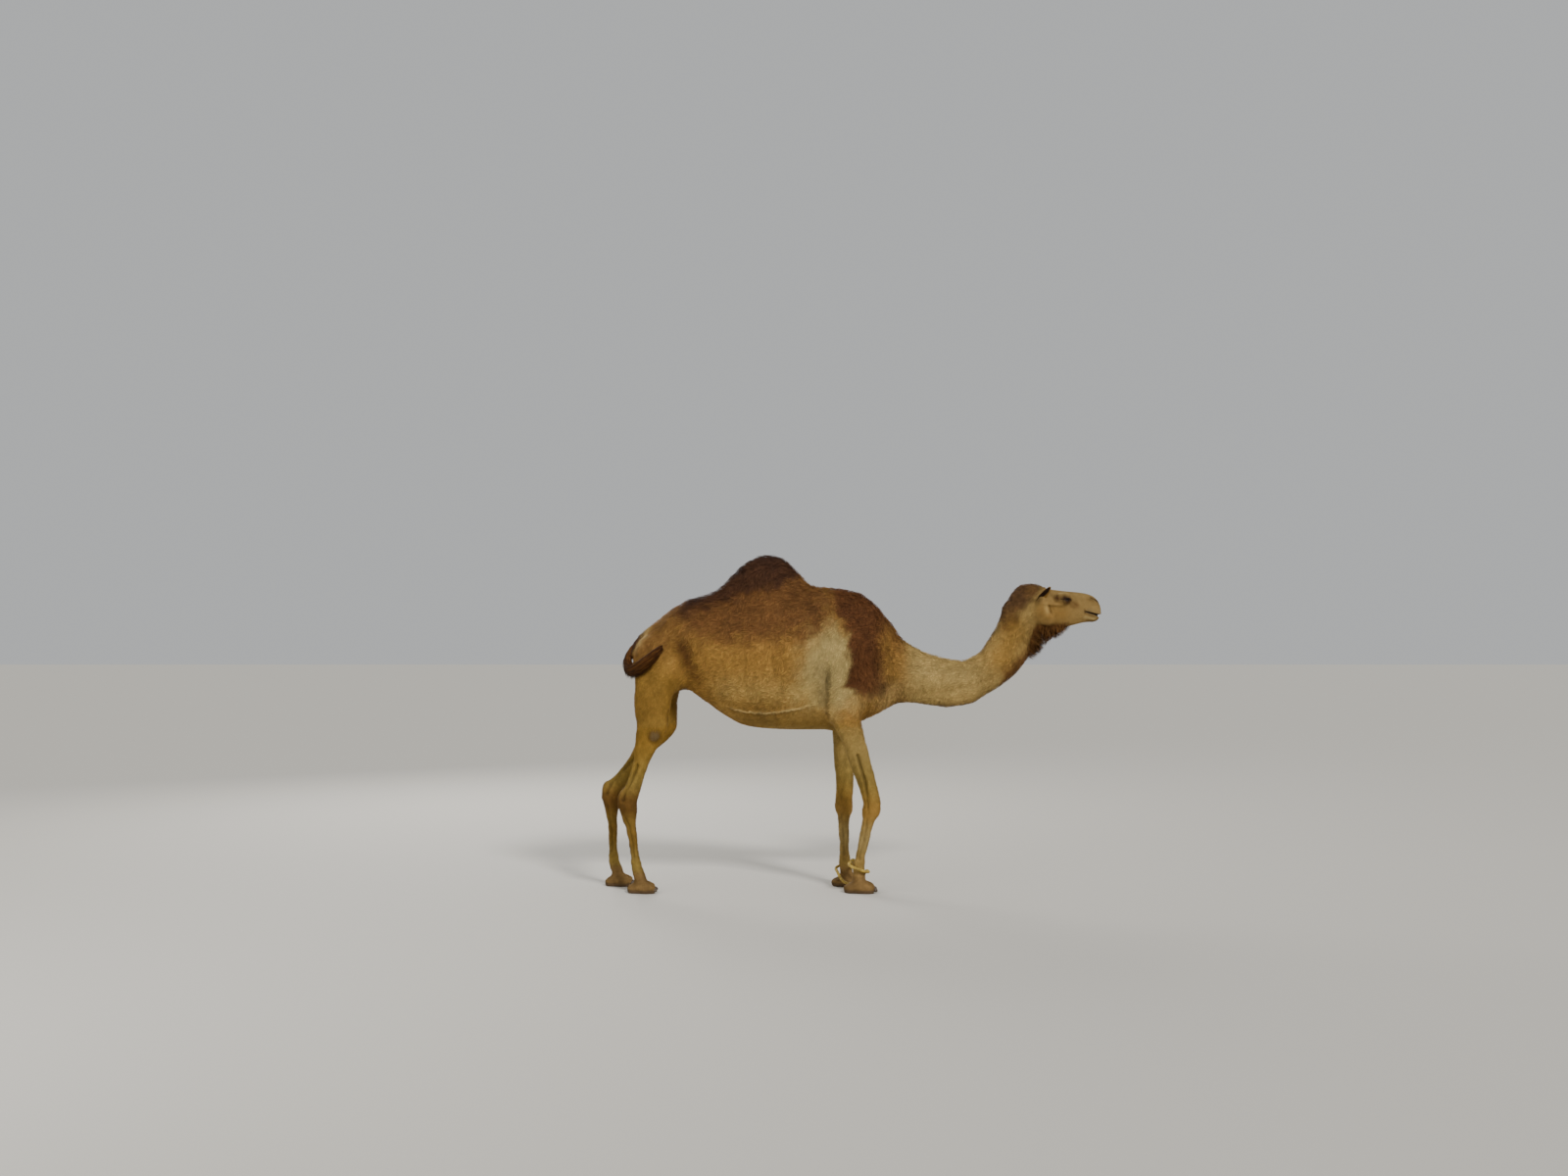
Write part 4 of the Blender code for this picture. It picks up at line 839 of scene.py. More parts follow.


# The markings, with painted shade in creases and hollows and a painted highlight on the milk vein, shared by the skin
# and the coat.
eyeFront = eyeMiddle() + eyeFrame()[0] * (eyeRadius + lids["thick"])
brighten = 1.42  # the coat's colours in open light
grooveShade = 0.42  # painted shade: how dark the bottom of a deep groove is
markings = {  # the ground colour, then each area's colour over it
    "ground": "#84622f", "mantle": "#5d3e20", "cream": "#948050", "belly": "#866a38", "rump": "#74532a",
    "buttock": "#8f7648", "hump": "#3f2819", "cape": "#50311a", "thigh": "#785a26", "neck": "#8e7645",
    "legs": "#7f6932", "face": "#7f663a", "poll": "#4e3722", "throat": "#553720", "tail": "#37251a",
    "feet": "#6d5430", "ear": "#3c2615",
}
details = {  # smaller marks, some of them painted shade or a painted highlight: colour, path, reach and strength
    "crown of the hump": ("#2c1d17", trail("hump", (0.30, 0.62), (0.48, 0.98), (0.66, 0.95)), 0.075, 0.75),
    "dark band behind the hump": ("#2f1e17", trail("trunk", (0.34, 1.06), (0.25, 0.94), (0.20, 0.84, 0.4)),
                                  0.060, 0.75),
    "golden mid flank": ("#8a6730", trail("trunk", (0.18, 0.52, 0.9), (0.40, 0.50, 0.9), (0.58, 0.52, 0.9)),
                         0.085, 0.5),
    "pale side of the belly": ("#8f7743", trail("trunk", (0.34, 0.28, 0.8), (0.50, 0.28, 0.9), (0.66, 0.26, 0.9)),
                               0.095, 0.6),
    "golden hip": ("#85632f", trail("trunk", (0.05, 0.80, 0.4), (0.10, 0.90, 0.3)), 0.060, 0.6),
    "front edge of the shoulder": ("#7d5c2c", trail("trunk", (0.985, 0.62, 0.3), (0.955, 0.40, 0.4)), 0.055, 0.7),
    "point of the shoulder": ("#8a7142", trail("trunk", (0.88, 0.22, 0.6), (0.80, 0.20, 0.7)), 0.050, 0.6),
    "pale neck side": ("#998250", trail("neck_lower", (0.3, 0.5, 0.8), (0.75, 0.42, 0.9)), 0.080, 0.6),
    "golden upper neck": ("#80602c", trail("neck_upper", (0.50, 0.35, 0.8), (0.70, 0.60, 0.8)), 0.100, 0.8),
    # Painted shade along the underside of the neck.
    "dark line under the neck": ("#4c321b", trail("neck_upper", (0.62, 0.06), (0.20, -0.06))
                                 + trail("neck_lower", (0.45, -0.01), (0.0, 0.03)), 0.038, 0.75),
    "nape": ("#443122", trail("neck_upper", (0.62, 0.90), (0.40, 0.60), (0.20, 0.47)), 0.034, 0.7),
    "breast": ("#8c7549", trail("trunk", (0.95, 0.30, 0.3), (0.93, 0.20, 0.3)), 0.090, 0.6),
    "under the belly": ("#70501f", trail("trunk", (0.25, 0.14), (0.45, 0.0), (0.70, 0.02)), 0.110, 0.6),
    "shade under the milk vein": ("#66502a", veinShade, 0.0110, 0.45),
    # Painted highlight along the top of the milk vein's ridge.
    "milk vein": ("#a18a58", milkVein, 0.0085, 0.75),
    "groin": ("#2f1d10", trail("trunk", (0.196, 0.287, 0.10), (0.20, 0.26, 0.10)), 0.030, 0.8),
    # Painted shade: soft in the hollow behind the elbow, dark in its crease.
    "shade in the hollow behind the elbow": ("#6e6040", elbowHollow, 0.0420, 0.50),
    "crease behind the elbow": ("#40301b", elbowCrease, 0.0125, 0.80),
    "elbow callus": ("#a88f5a", elbowCallus, 0.0150, 0.70),
    # Painted shade in the flank fold.
    "flank fold": ("#3f2913", trail("trunk", (0.172, 0.52, 0.78), (0.178, 0.38, 0.74), (0.160, 0.26, 0.70)),
                   0.0240, 0.6),
    "cheek": ("#7c5c2b", trail("head", (0.28, 0.40, 0.8), (0.50, 0.35, 0.7)), 0.060, 0.7),
    "pale cheek": ("#a08550", trail("head", (0.315, 0.52, 0.8), (0.33, 0.38, 0.8)), 0.0140, 0.6),
    # Dark hair under the jaw, deepened with painted shade.
    "jaw": ("#5f3f1e", trail("head", (0.30, 0.02, 0.5), (0.58, 0.06, 0.45)), 0.022, 0.8),
    "bridge of the nose": ("#7d6840", trail("head", (0.60, 0.90, 0.2), (0.85, 0.85, 0.2)), 0.040, 0.6),
    "rim of the nostril": ("#3f2c1a", nostril, 0.0120, 0.75),
    # The lids' dark skin, with painted shade round the deep-set eye and under the lashes.
    "round the eye": ("#2f1c10", [eyeFront + (-0.020, -0.004, 0.009), eyeFront + (0.018, -0.008, -0.002)], 0.0190, 1.0),
    "below the eye": ("#432a16", [eyeFront + (0, -0.004, -0.020), eyeFront + (0.020, -0.012, -0.028)], 0.0180, 0.90),
    # Painted shade in the tear trough, below and in front of the eye.
    "shade in the tear trough": ("#5b3c1e", [eyeFront + (0.020, -0.010, -0.010), eyeFront + (0.060, -0.035, -0.034)], 0.0180, 0.8),
    "brow": ("#ac9464", trail("head", (0.47, 0.800, 0.88), (0.56, 0.810, 0.86)), 0.0100, 0.7),
    # Painted shade in the wrinkles at the temple.
    "shade in the wrinkles behind the eye": ("#3e2512", trail("head", (0.385, 0.86, 0.62), (0.42, 0.72, 0.86), (0.455, 0.665, 0.9)),
                                0.0150, 0.95),
    # Painted shade in the cheek crease.
    "cheek crease": ("#3a2410", cheekCrease[:2], 0.0070, 0.95),
    # Painted shade inside the nostril's slit.
    "nostril": ("#1d130b", nostril, 0.0085, 1.0),
    "upper lip": ("#6a5a3e", trail("head", (0.86, 0.40, 0.42), (0.97, 0.36, 0.3)), 0.0150, 0.8),
    # Painted shade along the mouth's opening.
    "lips": ("#33251a", mouthLine, 0.0100, 0.85),
    "lower lip": ("#9c8759", trail("head", (0.80, 0.255, 0.42), (0.94, 0.225, 0.36)), 0.0090, 0.75),
    # Painted shadow under the lower lip.
    "chin": ("#46341f", trail("head", (0.84, 0.165, 0.3), (0.93, 0.17, 0.2)), 0.0140, 0.75),
    "front edge of the cape": ("#7d5c2c", trail("trunk", (0.965, 0.76, 0.25), (0.935, 0.60, 0.42), (0.945, 0.40, 0.45)),
                               0.060, 0.85),
    # Painted shade in the hollow before the thigh, behind its front edge.
    "shade in the hollow before the thigh": ("#452a12", trail("trunk", (0.197, 0.58, 0.66), (0.215, 0.45, 0.7), (0.238, 0.36, 0.66)),
                                0.042, 0.85),
    "golden wool by the ears": ("#6d4f2a", trail("head", (0.13, 0.80, 0.6), (0.25, 0.98, 0.3)), 0.030, 0.65),
    "top of the dock": ("#a08a5c", trail("tail", (0.85, 1.0, 0.6), (0.45, 0.72, 0.6)), 0.018, 0.55),
    "foot of the ear": ("#37220f", trail("ear_left", (0.24, 0.06, 0.68), (0.42, 0.30, 0.74)), 0.0150, 0.90),
}
callusMarks = (("#35230f", 0.60, 0.056, 0.030), ("#5b4a30", 0.90, 0.036, 0.020))  # round the stifle's callus
padColour = "#4a3a29"
legMarks = {  # share of the leg bone's height, colour, reach in metres
    "forearm": ((0.10, "#80602a", 0.12), (0.85, "#8a7240", 0.16)),
    "cannon": ((0.95, "#85622c", 0.07), (0.45, "#957e4e", 0.11), (0.1, "#7d6334", 0.06)),
    # The dark bands at the hock, low on the gaskin and high on the hind cannon, are the hock's darker hair deepened
    # with painted shade.
    "gaskin": ((0.9, "#7c5a1f", 0.16), (0.12, "#583815", 0.08)),
    "hindCannon": ((0.97, "#4c3113", 0.06), (0.5, "#634719", 0.13)),
}


clouds = ((0.10, 0.110, 11), (0.09, 0.030, 12), (0.05, 0.011, 13))  # unevenness of the colour: strength, size, seed


def paint(points, areas):  # linear colour of the coat at each point, painted shade and highlight included
    colour = np.tile(linear(markings["ground"]), (len(points), 1))
    for name in list(markings)[1:]:
        colour += (linear(markings[name]) - colour) * areas[name][:, None]
    for hexColour, path, reach, strength in details.values():
        weight = strength * along(asPath(path), reach, points) * (1 - areas["ear"] * (reach < 0.03))
        colour += (linear(hexColour) - colour) * weight[:, None]
    for bone, marks in legMarks.items():
        hind = bone in ("gaskin", "hindCannon")
        low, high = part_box(("hind_right_" if hind else "fore_right_") + bone.replace("hindCannon", "cannon"))
        onEnd = (points[:, 0] < -0.8 if hind else points[:, 0] > -0.5) & (points[:, 2] < 0.98)
        for share, hexColour, reach in marks:
            weight = 0.75 * np.exp(-((points[:, 2] - low.z - (high.z - low.z) * share) / reach) ** 2) * onEnd
            colour += (linear(hexColour) - colour) * weight[:, None]
    for node in ("hind_right_thigh", "hind_left_thigh"):
        away = np.linalg.norm(points - sectionPoint(node, *stifleCallus), axis=1)
        for hexColour, strength, outer, inner in callusMarks:
            colour += (linear(hexColour) - colour) * (strength * smoothStep(outer, inner, away))[:, None]
    colour += (linear(padColour) - colour) * (0.85 * smoothStep(0.026, 0.018, points[:, 2]))[:, None]
    cloud = sum(strength * ripple(points, size, seed) for strength, size, seed in clouds)
    return np.maximum(colour, 0.002) * brighten * (1 + cloud * (1 - 0.5 * areas["face"]))[:, None]


earLook = {
    "rim": "#80602f",
    "inside": "#26170d",
    # Painted shade: the hollow of the ear is painted near black.
    "back": "#5e4222",
    "foot": "#7f663a",
    "opening": (0.55, 0.80, -0.10),
}


def earFrame(points, normals):  # height up the ear, share of its half width, and how much a place faces its hollow
    low, high = (np.array(v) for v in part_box("ear_left"))
    root, tip = low + (high - low) * (0.04, 0.04, 0.02), low + (high - low) * (0.92, 0.94, 1.0)
    size = np.linalg.norm(tip - root)
    axis = (tip - root) / size
    opening = unit(np.array([earLook["opening"]]) - axis * (np.array(earLook["opening"]) @ axis))[0]
    folded = fold(points) - root
    height = folded @ axis / size
    width = 0.028 * np.sin(math.pi * np.clip(0.24 + 0.72 * height, 0.02, 0.98)) ** 0.8
    across = np.abs(folded @ np.cross(axis, opening)) / width
    facing = (normals * np.where(points[:, 1:2] < 0, (1, -1, 1), (1, 1, 1))) @ opening
    return height, across, facing


def paintEars(colour, points, normals, ear):
    height, across, facing = earFrame(points, normals)
    rim = np.maximum(smoothStep(0.74, 0.98, across), smoothStep(0.88, 0.99, height))[:, None]
    # Painted shade on the side of the ear that faces its hollow.
    inside = smoothStep(-0.1, 0.4, facing)[:, None]
    tone = linear(earLook["inside"]) * inside + linear(earLook["back"]) * (1 - inside)
    foot = (smoothStep(0.30, 0.05, height)[:, None] * (1 - inside)) * 0.9
    tone = tone + (linear(earLook["rim"]) - tone) * rim * 0.85
    tone = tone + (linear(earLook["foot"]) - tone) * foot
    return colour + (tone * brighten - colour) * ear[:, None]


lie = (  # how the hair lies: place and direction, whose second number is outwards
    (spot("trunk", 0.02, 0.70, 0.3), (-0.4, 0.3, -0.9)), (spot("trunk", 0.15, 0.90, 0.3), (-0.8, 0.3, -0.4)),
    (spot("trunk", 0.12, 0.60, 0.8), (-0.5, 0, -0.8)), (spot("trunk", 0.30, 0.70, 0.9), (-0.75, 0.1, -0.6)),
    (spot("trunk", 0.30, 0.35, 0.8), (-0.85, 0, -0.45)), (spot("trunk", 0.50, 0.60, 0.9), (-0.7, 0, -0.7)),
    (spot("trunk", 0.50, 0.15, 0.6), (-0.95, 0, -0.2)), (spot("trunk", 0.70, 0.55, 0.8), (-0.6, 0, -0.8)),
    (spot("trunk", 0.70, 0.20, 0.7), (-0.8, 0, -0.5)), (spot("hump", 0.30, 0.55, 0.3), (-0.75, 0.35, -0.35)),
    (spot("hump", 0.50, 0.90, 0.1), (-0.65, 0.5, 0.25)), (spot("hump", 0.55, 0.30, 0.8), (-0.4, 0.2, -0.9)),
    (spot("hump", 0.90, 0.40, 0.3), (-0.6, 0.5, 0.1)), (spot("trunk", 0.72, 0.98, 0.2), (-0.8, 0.5, -0.2)),
    (spot("trunk", 0.86, 0.75, 0.7), (-0.45, 0.1, -0.9)), (spot("trunk", 0.88, 0.40, 0.8), (-0.3, 0, -0.95)),
    (spot("trunk", 0.97, 0.60, 0.4), (-0.5, 0.3, -0.8)), (spot("trunk", 0.97, 0.25, 0.2), (-0.3, 0, -0.9)),
    (spot("neck_lower", 0.2, 0.5, 0.8), (-0.9, 0, -0.3)), (spot("neck_lower", 0.8, 0.4, 0.8), (-0.95, 0, -0.25)),
    (spot("neck_upper", 0.3, 0.2, 0.8), (-0.7, 0, -0.7)), (spot("neck_upper", 0.7, 0.5, 0.8), (-0.35, 0, -0.9)),
    (spot("neck_upper", 0.8, 0.95, 0.2), (-0.6, 0.2, -0.7)), (spot("head", 0.12, 0.98, 0.2), (-0.9, 0.3, -0.1)),
    (spot("head", 0.10, 0.60, 0.7), (-0.6, 0, -0.8)), (spot("head", 0.45, 0.97, 0.3), (-0.95, 0.2, 0.1)),
    (spot("head", 0.35, 0.45, 0.9), (-0.85, 0, -0.45)), (spot("head", 0.40, 0.08, 0.5), (-0.8, 0, -0.6)),
    (spot("head", 0.75, 0.60, 0.6), (-0.95, 0.1, -0.1)), (spot("head", 0.95, 0.80, 0.2), (-0.9, 0.3, 0.3)),
    (spot("head", 0.95, 0.25, 0.2), (-0.8, 0.1, -0.5)), (spot("tail", 0.5, 0.6), (-0.6, 0, -0.8)),
    *[(spot(bone, 0.5, 0.5, 0.5), (forwards, 0, -1)) for bone, forwards in (
        ("fore_right_forearm", -0.1), ("fore_right_cannon", -0.1), ("hind_right_gaskin", -0.25),
        ("hind_right_cannon", -0.1), ("hind_right_thigh", -0.3))],
)


def hairWay(points, normals, ear):  # unit direction of the hair, along the surface
    folded, total = fold(points), np.zeros((len(points), 3))
    for place, way in lie:
        distance = np.linalg.norm(folded - place, axis=1)
        total += np.array(way) * (1 / (distance + 0.03) ** 4)[:, None]
    low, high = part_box("ear_left")
    earWay = unit(np.array([[high.x - low.x, 0.1 * (high.y - low.y), high.z - low.z]]))
    total = unit(total)
    for place, reach, strength in ((eyeAt + eyeFrame()[0] * eyeRadius, 0.038, 3.0), (nostril[1], 0.024, 1.2)):
        away = unit(folded - place)
        total += away * (strength * np.exp(-(np.linalg.norm(folded - place, axis=1) / reach) ** 4))[:, None]
    total = total * (1 - ear)[:, None] + earWay * ear[:, None]
    total[:, 1] *= np.where(points[:, 1] < 0, -1, 1)
    total -= normals * (total * normals).sum(axis=1)[:, None]
    return unit(total)


tuft = {  # a closed blade with 1 to 4 rings of three points between its root and its tip
    "steps": ((0, 0.38, 1), (0, 0.28, 0.68, 1), (0, 0.20, 0.5, 0.8, 1), (0, 0.15, 0.4, 0.65, 0.87, 1)),
    "taper": ((1.0,), (1.0, 0.75), (0.9, 1.0, 0.6), (0.8, 1.0, 0.85, 0.5)),
    "ridge": 0.6,  # height of a ring against half its width
    "round": 0.55,  # how far the shading leans over towards a blade's edges
    "patch": 0.003,  # width of a tuft's patch on the unwrap
}


def makeTufts(name, paths, sides, ups, softUps, widths, colours, rootColours, roots, material):
    # The paths hold each tuft's root, the middles of its rings and its tip.
    count, rings = paths.shape[0], paths.shape[1] - 2
    steps = tuft["steps"][rings - 1]
    half = (widths[:, None] * 0.5 * np.array(tuft["taper"][rings - 1]))[:, :, None]
    body = paths[:, 1:-1]
    ring = np.stack([body - sides * half, body + ups * half * tuft["ridge"], body + sides * half], axis=2)
    points = np.concatenate([paths[:, :1], ring.reshape(count, rings * 3, 3), paths[:, -1:]], axis=1)
    lean = (np.array([-1, 0, 1]) * tuft["round"])[None, None, :, None]
    soft = softUps[:, None, None] + sides[:, :, None] * lean
    soft = np.broadcast_to(soft, (count, rings, 3, 3)).reshape(count, rings * 3, 3)
    normals = np.concatenate([softUps[:, None], soft, softUps[:, None]], axis=1).reshape(-1, 3)
    tip = rings * 3 + 1
    nextTo = ((0, 1), (1, 2), (2, 0))
    faces = [(0, 1 + m, 1 + k) for k, m in nextTo] + [(tip - 3 + m, tip, tip - 3 + k) for k, m in nextTo]
    for a in range(1, tip - 3, 3):
        for k, m in nextTo:
            faces += [(a + 3 + m, a + 3 + k, a + k), (a + m, a + 3 + m, a + k)]
    corners = (np.array(faces)[None] + (np.arange(count) * (tip + 1))[:, None, None]).reshape(-1)
    mesh = bpy.data.meshes.new(name)
    mesh.vertices.add(count * (tip + 1))
    mesh.vertices.foreach_set("co", points.reshape(-1).astype(np.float32))
    mesh.loops.add(len(corners))
    mesh.loops.foreach_set("vertex_index", corners.astype(np.int32))
    mesh.polygons.add(len(corners) // 3)
    mesh.polygons.foreach_set("loop_start", np.arange(0, len(corners), 3, dtype=np.int32))
    mesh.update(calc_edges=True)
    local = np.array([(0.5, 0)] + [(u, t) for t in steps[1:-1] for u in (0, 0.5, 1)] + [(0.5, 1)])
    strand, bake = mesh.uv_layers.new(name="strand"), mesh.uv_layers.new(name="OFBake")
    strand.data.foreach_set("uv", np.tile(local, (count, 1))[corners].astype(np.float32).ravel())
    at = (roots[:, None, :] + (local[None] - 0.5) * tuft["patch"]).reshape(-1, 2)
    bake.data.foreach_set("uv", np.clip(at[corners], 0, 1).astype(np.float32).ravel())
    share = local[None, :, 1:] ** 0.7
    painted = (rootColours[:, None, :] * (1 - share) + colours[:, None, :] * share).reshape(-1, 3)
    addAttribute(mesh, "coatColour", "FLOAT_COLOR", np.column_stack([painted, np.ones(len(painted))]))
    mesh.shade_smooth()
    mesh.normals_split_custom_set_from_vertices(unit(normals).tolist())
    return addObject(name, mesh, material)


def curvedPaths(starts, middles, ends, rings):  # from root to tip through the middle
    steps = np.array(tuft["steps"][rings - 1])[None, :, None]
    a, m, e = starts[:, None], middles[:, None], ends[:, None]
    return (1 - steps) ** 2 * a + 2 * steps * (1 - steps) * (2 * m - 0.5 * a - 0.5 * e) + steps ** 2 * e


def readTriangles(mesh):  # their points, their corners and twice their areas
    mesh.calc_loop_triangles()
    corners = readRows(mesh.loop_triangles, "vertices", 3, np.int32)
    a, b, c = (readPoints(mesh)[corners[:, k]] for k in range(3))
    return a, b, c, corners, np.linalg.norm(np.cross(b - a, c - a), axis=1)


def anywhere(rng, count):  # random places in a triangle, as shares of its two sides
    shares = rng.random((count, 2))
    flip = shares.sum(axis=1) > 1
    shares[flip] = 1 - shares[flip]
    return shares


def readUnwrap(mesh):
    return readRows(mesh.uv_layers["OFBake"].data, "uv", 2, np.float32)


def sampleSkin(density, rng):  # random places on the skin, as many per square metre as wanted there
    mesh = skin.data
    *_, corners, area = readTriangles(mesh)
    loops = readRows(mesh.loop_triangles, "loops", 3, np.int32)
    wanted = area / 2 * density[corners].mean(axis=1)
    number = np.floor(wanted + rng.random(len(corners))).astype(int)
    which = np.repeat(np.arange(len(corners)), number)
    shares = anywhere(rng, len(which))
    shares = np.column_stack([1 - shares.sum(axis=1), shares])

    def blend(values, rows=corners):  # the values at the chosen places
        return (values[rows[which]] * shares[:, :, None]).sum(axis=1)
    return blend, blend(readUnwrap(mesh), loops)


coat = {
    "seed": 4,
    "thickness": 0.93,
    "sunk": 0.0012,  # how far a tuft's root goes into the skin
    "endsAbove": (0.026, 0.019),  # z where the hair thins out over the soles
    "tips": (0.70, 1.30),  # the least and the greatest share of the coat's depth that a tip reaches
    "sizes": (0.75, 1.2),  # the least and the greatest length and width against the coat's own
    "turns": (0.10, 0.30),  # how unevenly the tufts lie, and how much more so where the coat swirls
    "swirls": ((1, 0.040, 21), (0.6, 0.017, 22)),  # strength, size and seed
    "fringe": 1.1,  # how much longer the hair is at the ears' edges
    "tones": 0.10,  # how unevenly light the tufts are
    "hues": 0.025,
    "lightLocks": 0.16,  # share of the flank's tufts that are paler
    "paleness": (0.15, 0.45),
    "leaders": 0.05,  # share of the tufts that the others draw towards, which makes locks
    "clumpFrom": 0.016,  # least length of a tuft that does so
    "clump": 0.024,  # how near it has to stand
    "clumpPull": 0.40,
    "moreRings": (0.033, 0.047),  # lengths from which a tuft has two and three rings
    "rootShade": 0.66,  # how dark the roots are, and those on the face
    "faceRootShade": 0.90,
    "tipShade": 1.14,
    "pieces": (  # name and the test on the roots, first match first
        ("coat_of_the_muzzle", lambda x, y, z: (x > 1.33) & (z > 1.5)),
        ("coat_of_the_head", lambda x, y, z: (x > 1.12) & (z > 1.5)),
        ("coat_of_the_poll_and_throat", lambda x, y, z: x > 0.86),
        ("coat_of_the_neck", lambda x, y, z: x > 0.30),
        ("coat_of_the_right_foreleg", lambda x, y, z: (x > -0.35) & (z < 1.02) & (y < 0)),
        ("coat_of_the_left_foreleg", lambda x, y, z: (x > -0.35) & (z < 1.02)),
        ("coat_of_the_right_hind_leg", lambda x, y, z: (x < -0.95) & (z < 1.10) & (y < 0)),
        ("coat_of_the_left_hind_leg", lambda x, y, z: (x < -0.95) & (z < 1.10)),
        ("coat_of_the_hump", lambda x, y, z: (z > 1.66) & (x < -0.15)),
        ("coat_of_the_right_shoulder", lambda x, y, z: (x > -0.10) & (y < 0)),
        ("coat_of_the_left_shoulder", lambda x, y, z: x > -0.10),
        ("coat_of_the_right_flank", lambda x, y, z: (x > -0.75) & (y < 0)),
        ("coat_of_the_left_flank", lambda x, y, z: x > -0.75),
        ("coat_of_the_right_hindquarter", lambda x, y, z: y < 0),
        ("coat_of_the_left_hindquarter", lambda x, y, z: y >= 0),
    ),
}


def placeOnSkin(points):  # nearest place on the skin, its normal and its place on the unwrap
    places, normals, faces, _ = zip(*[onSkin.find_nearest(Vector(point)) for point in points])
    first = readRows(skin.data.polygons, "loop_start", 1, int)[list(faces), 0]
    uvs = readUnwrap(skin.data)
    return np.array(places), np.array(normals), (uvs[first] + uvs[first + 2]) / 2


def gatherLocks(at, ends, length, rng):  # draws the longer tufts' tips towards the nearest leading tuft's tip
    longEnough = length > coat["clumpFrom"]
    leaders = rng.permutation(len(at))[:int(len(at) * coat["leaders"])]
    leaders = leaders[longEnough[leaders]]
    groups = KDTree(len(leaders))
    for k, leader in enumerate(leaders):
        groups.insert(at[leader], k)
    groups.balance()
    for k in np.nonzero(longEnough)[0]:
        _, which, distance = groups.find(at[k])
        if distance < coat["clump"]:
            ends[k] += (ends[leaders[which]] - ends[k]) * (coat["clumpPull"] * (1 - distance / coat["clump"]) ** 0.5)


def growCoat(material):
    mesh, rng = skin.data, np.random.default_rng(coat["seed"])
    points, normals, ear = readPoints(mesh), readNormals(mesh), readFloat(mesh, "ear")
    areas = readAreas(points, ear)
    kind = coatAt(areas)
    bare = readFloat(mesh, "lidOpening") * 2 + readFloat(mesh, "mouthGap") * 1.6 + 1.2 * readFloat(mesh, "lidRim")
    soles = smoothStep(*coat["endsAbove"], points[:, 2])
    bare = np.maximum(np.maximum(np.clip(bare, 0, 1), along(nostril, 0.0070, points)), soles)
    density = coat["thickness"] * kind["cover"] / (0.55 * kind["length"] * kind["width"]) * (1 - bare)
    blend, roots = sampleSkin(density, rng)
    short = near(points, eyeAt, 0.040) + near(points, nostril[1], 0.03) + along(mouthLine, 0.010, points)
    packed = np.column_stack([kind[name] for name in ("length", "width", "depth", "curl", "swirl")]
                             + [areas["hump"], np.clip(short, 0, 1), areas["face"], ear, readFloat(mesh, "groove")])
    at, up = blend(points), unit(blend(normals))
    length, width, depth, curl, swirl, onHump, short, onFace, onEar, deep = blend(packed).T
    count = len(at)

    # The way each tuft lies, and its size.
    way = hairWay(at, up, onEar)
    turn = swirl * sum(strength * ripple(at, size, seed) for strength, size, seed in coat["swirls"])
    turn += rng.normal(size=count) * (coat["turns"][0] + coat["turns"][1] * swirl)
    way = unit(way * np.cos(turn)[:, None] + np.cross(way, up) * np.sin(turn)[:, None])
    side = np.cross(way, up)
    fringe = 1 + coat["fringe"] * onEar * smoothStep(0.70, 0.95, earFrame(at, up)[1])
    length = length * fringe * rng.uniform(*coat["sizes"], count) * (1 - 0.5 * short)
    width = width * rng.uniform(*coat["sizes"], count) * (1 - 0.3 * short)

    # Its colours.
    # Painted shade darkens the tufts that grow in deep grooves.
    colour = paintEars(paint(at, readAreas(at, onEar)), at, up, onEar) * (1 - grooveShade * deep)[:, None]
    tone = (rng.normal(0, coat["tones"], count) + coat["tones"] * ripple(at, 0.02, 31)) * (1 - 0.5 * onFace)
    pale = rng.random(count) < coat["lightLocks"] * (1 - onHump) * (length > 0.020)
    pale = pale * rng.uniform(*coat["paleness"], count)
    colour = colour * (1 + tone + pale)[:, None] * (1 + rng.normal(0, coat["hues"], (count, 3)))
    rootColours = colour * (coat["rootShade"] + (coat["faceRootShade"] - coat["rootShade"]) * onFace)[:, None]
    colour = colour * (coat["tipShade"] - 0.06 * onFace)[:, None]

    # Its curve, from inside the skin to its tip above it.
    found = [onSkin.find_nearest(Vector(end)) for end in at + way * (length * 0.92)[:, None]]
    ends, endUps = np.array([place[0] for place in found]), np.array([place[1] for place in found])
    reach = depth * rng.uniform(*coat["tips"], count)
    ends += unit(endUps + up) * reach[:, None]
    gatherLocks(at, ends, length, rng)
    sway = curl * length * rng.normal(0, 1, count)
    starts = at - up * coat["sunk"]
    middles = (starts + ends) / 2 + up * (coat["sunk"] + 0.20 * reach)[:, None] + side * (sway * 0.8)[:, None]
    ends = ends + side * (-sway * 0.4)[:, None]

    rings = 1 + np.digitize(length, coat["moreRings"])
    label, made = np.full(count, -1), {}
    for number, (name, test) in enumerate(coat["pieces"]):
        label[(label < 0) & test(*at.T)] = number
    for number, (name, _) in enumerate(coat["pieces"]):
        parts = []
        for ringCount in (1, 2, 3):
            own = (label == number) & (rings == ringCount)
            if own.any():
                paths = curvedPaths(starts[own], middles[own], ends[own], ringCount)
                parts.append(makeTufts(name, paths, side[own][:, None], up[own][:, None], up[own], width[own],
                                       colour[own], rootColours[own], roots[own], material))
        piece = joinParts(parts, name)
        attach(piece, "root")
        made[name] = len(piece.data.polygons)
    say(f"coat: {count} tufts, {sum(made.values())} triangles, {made}")


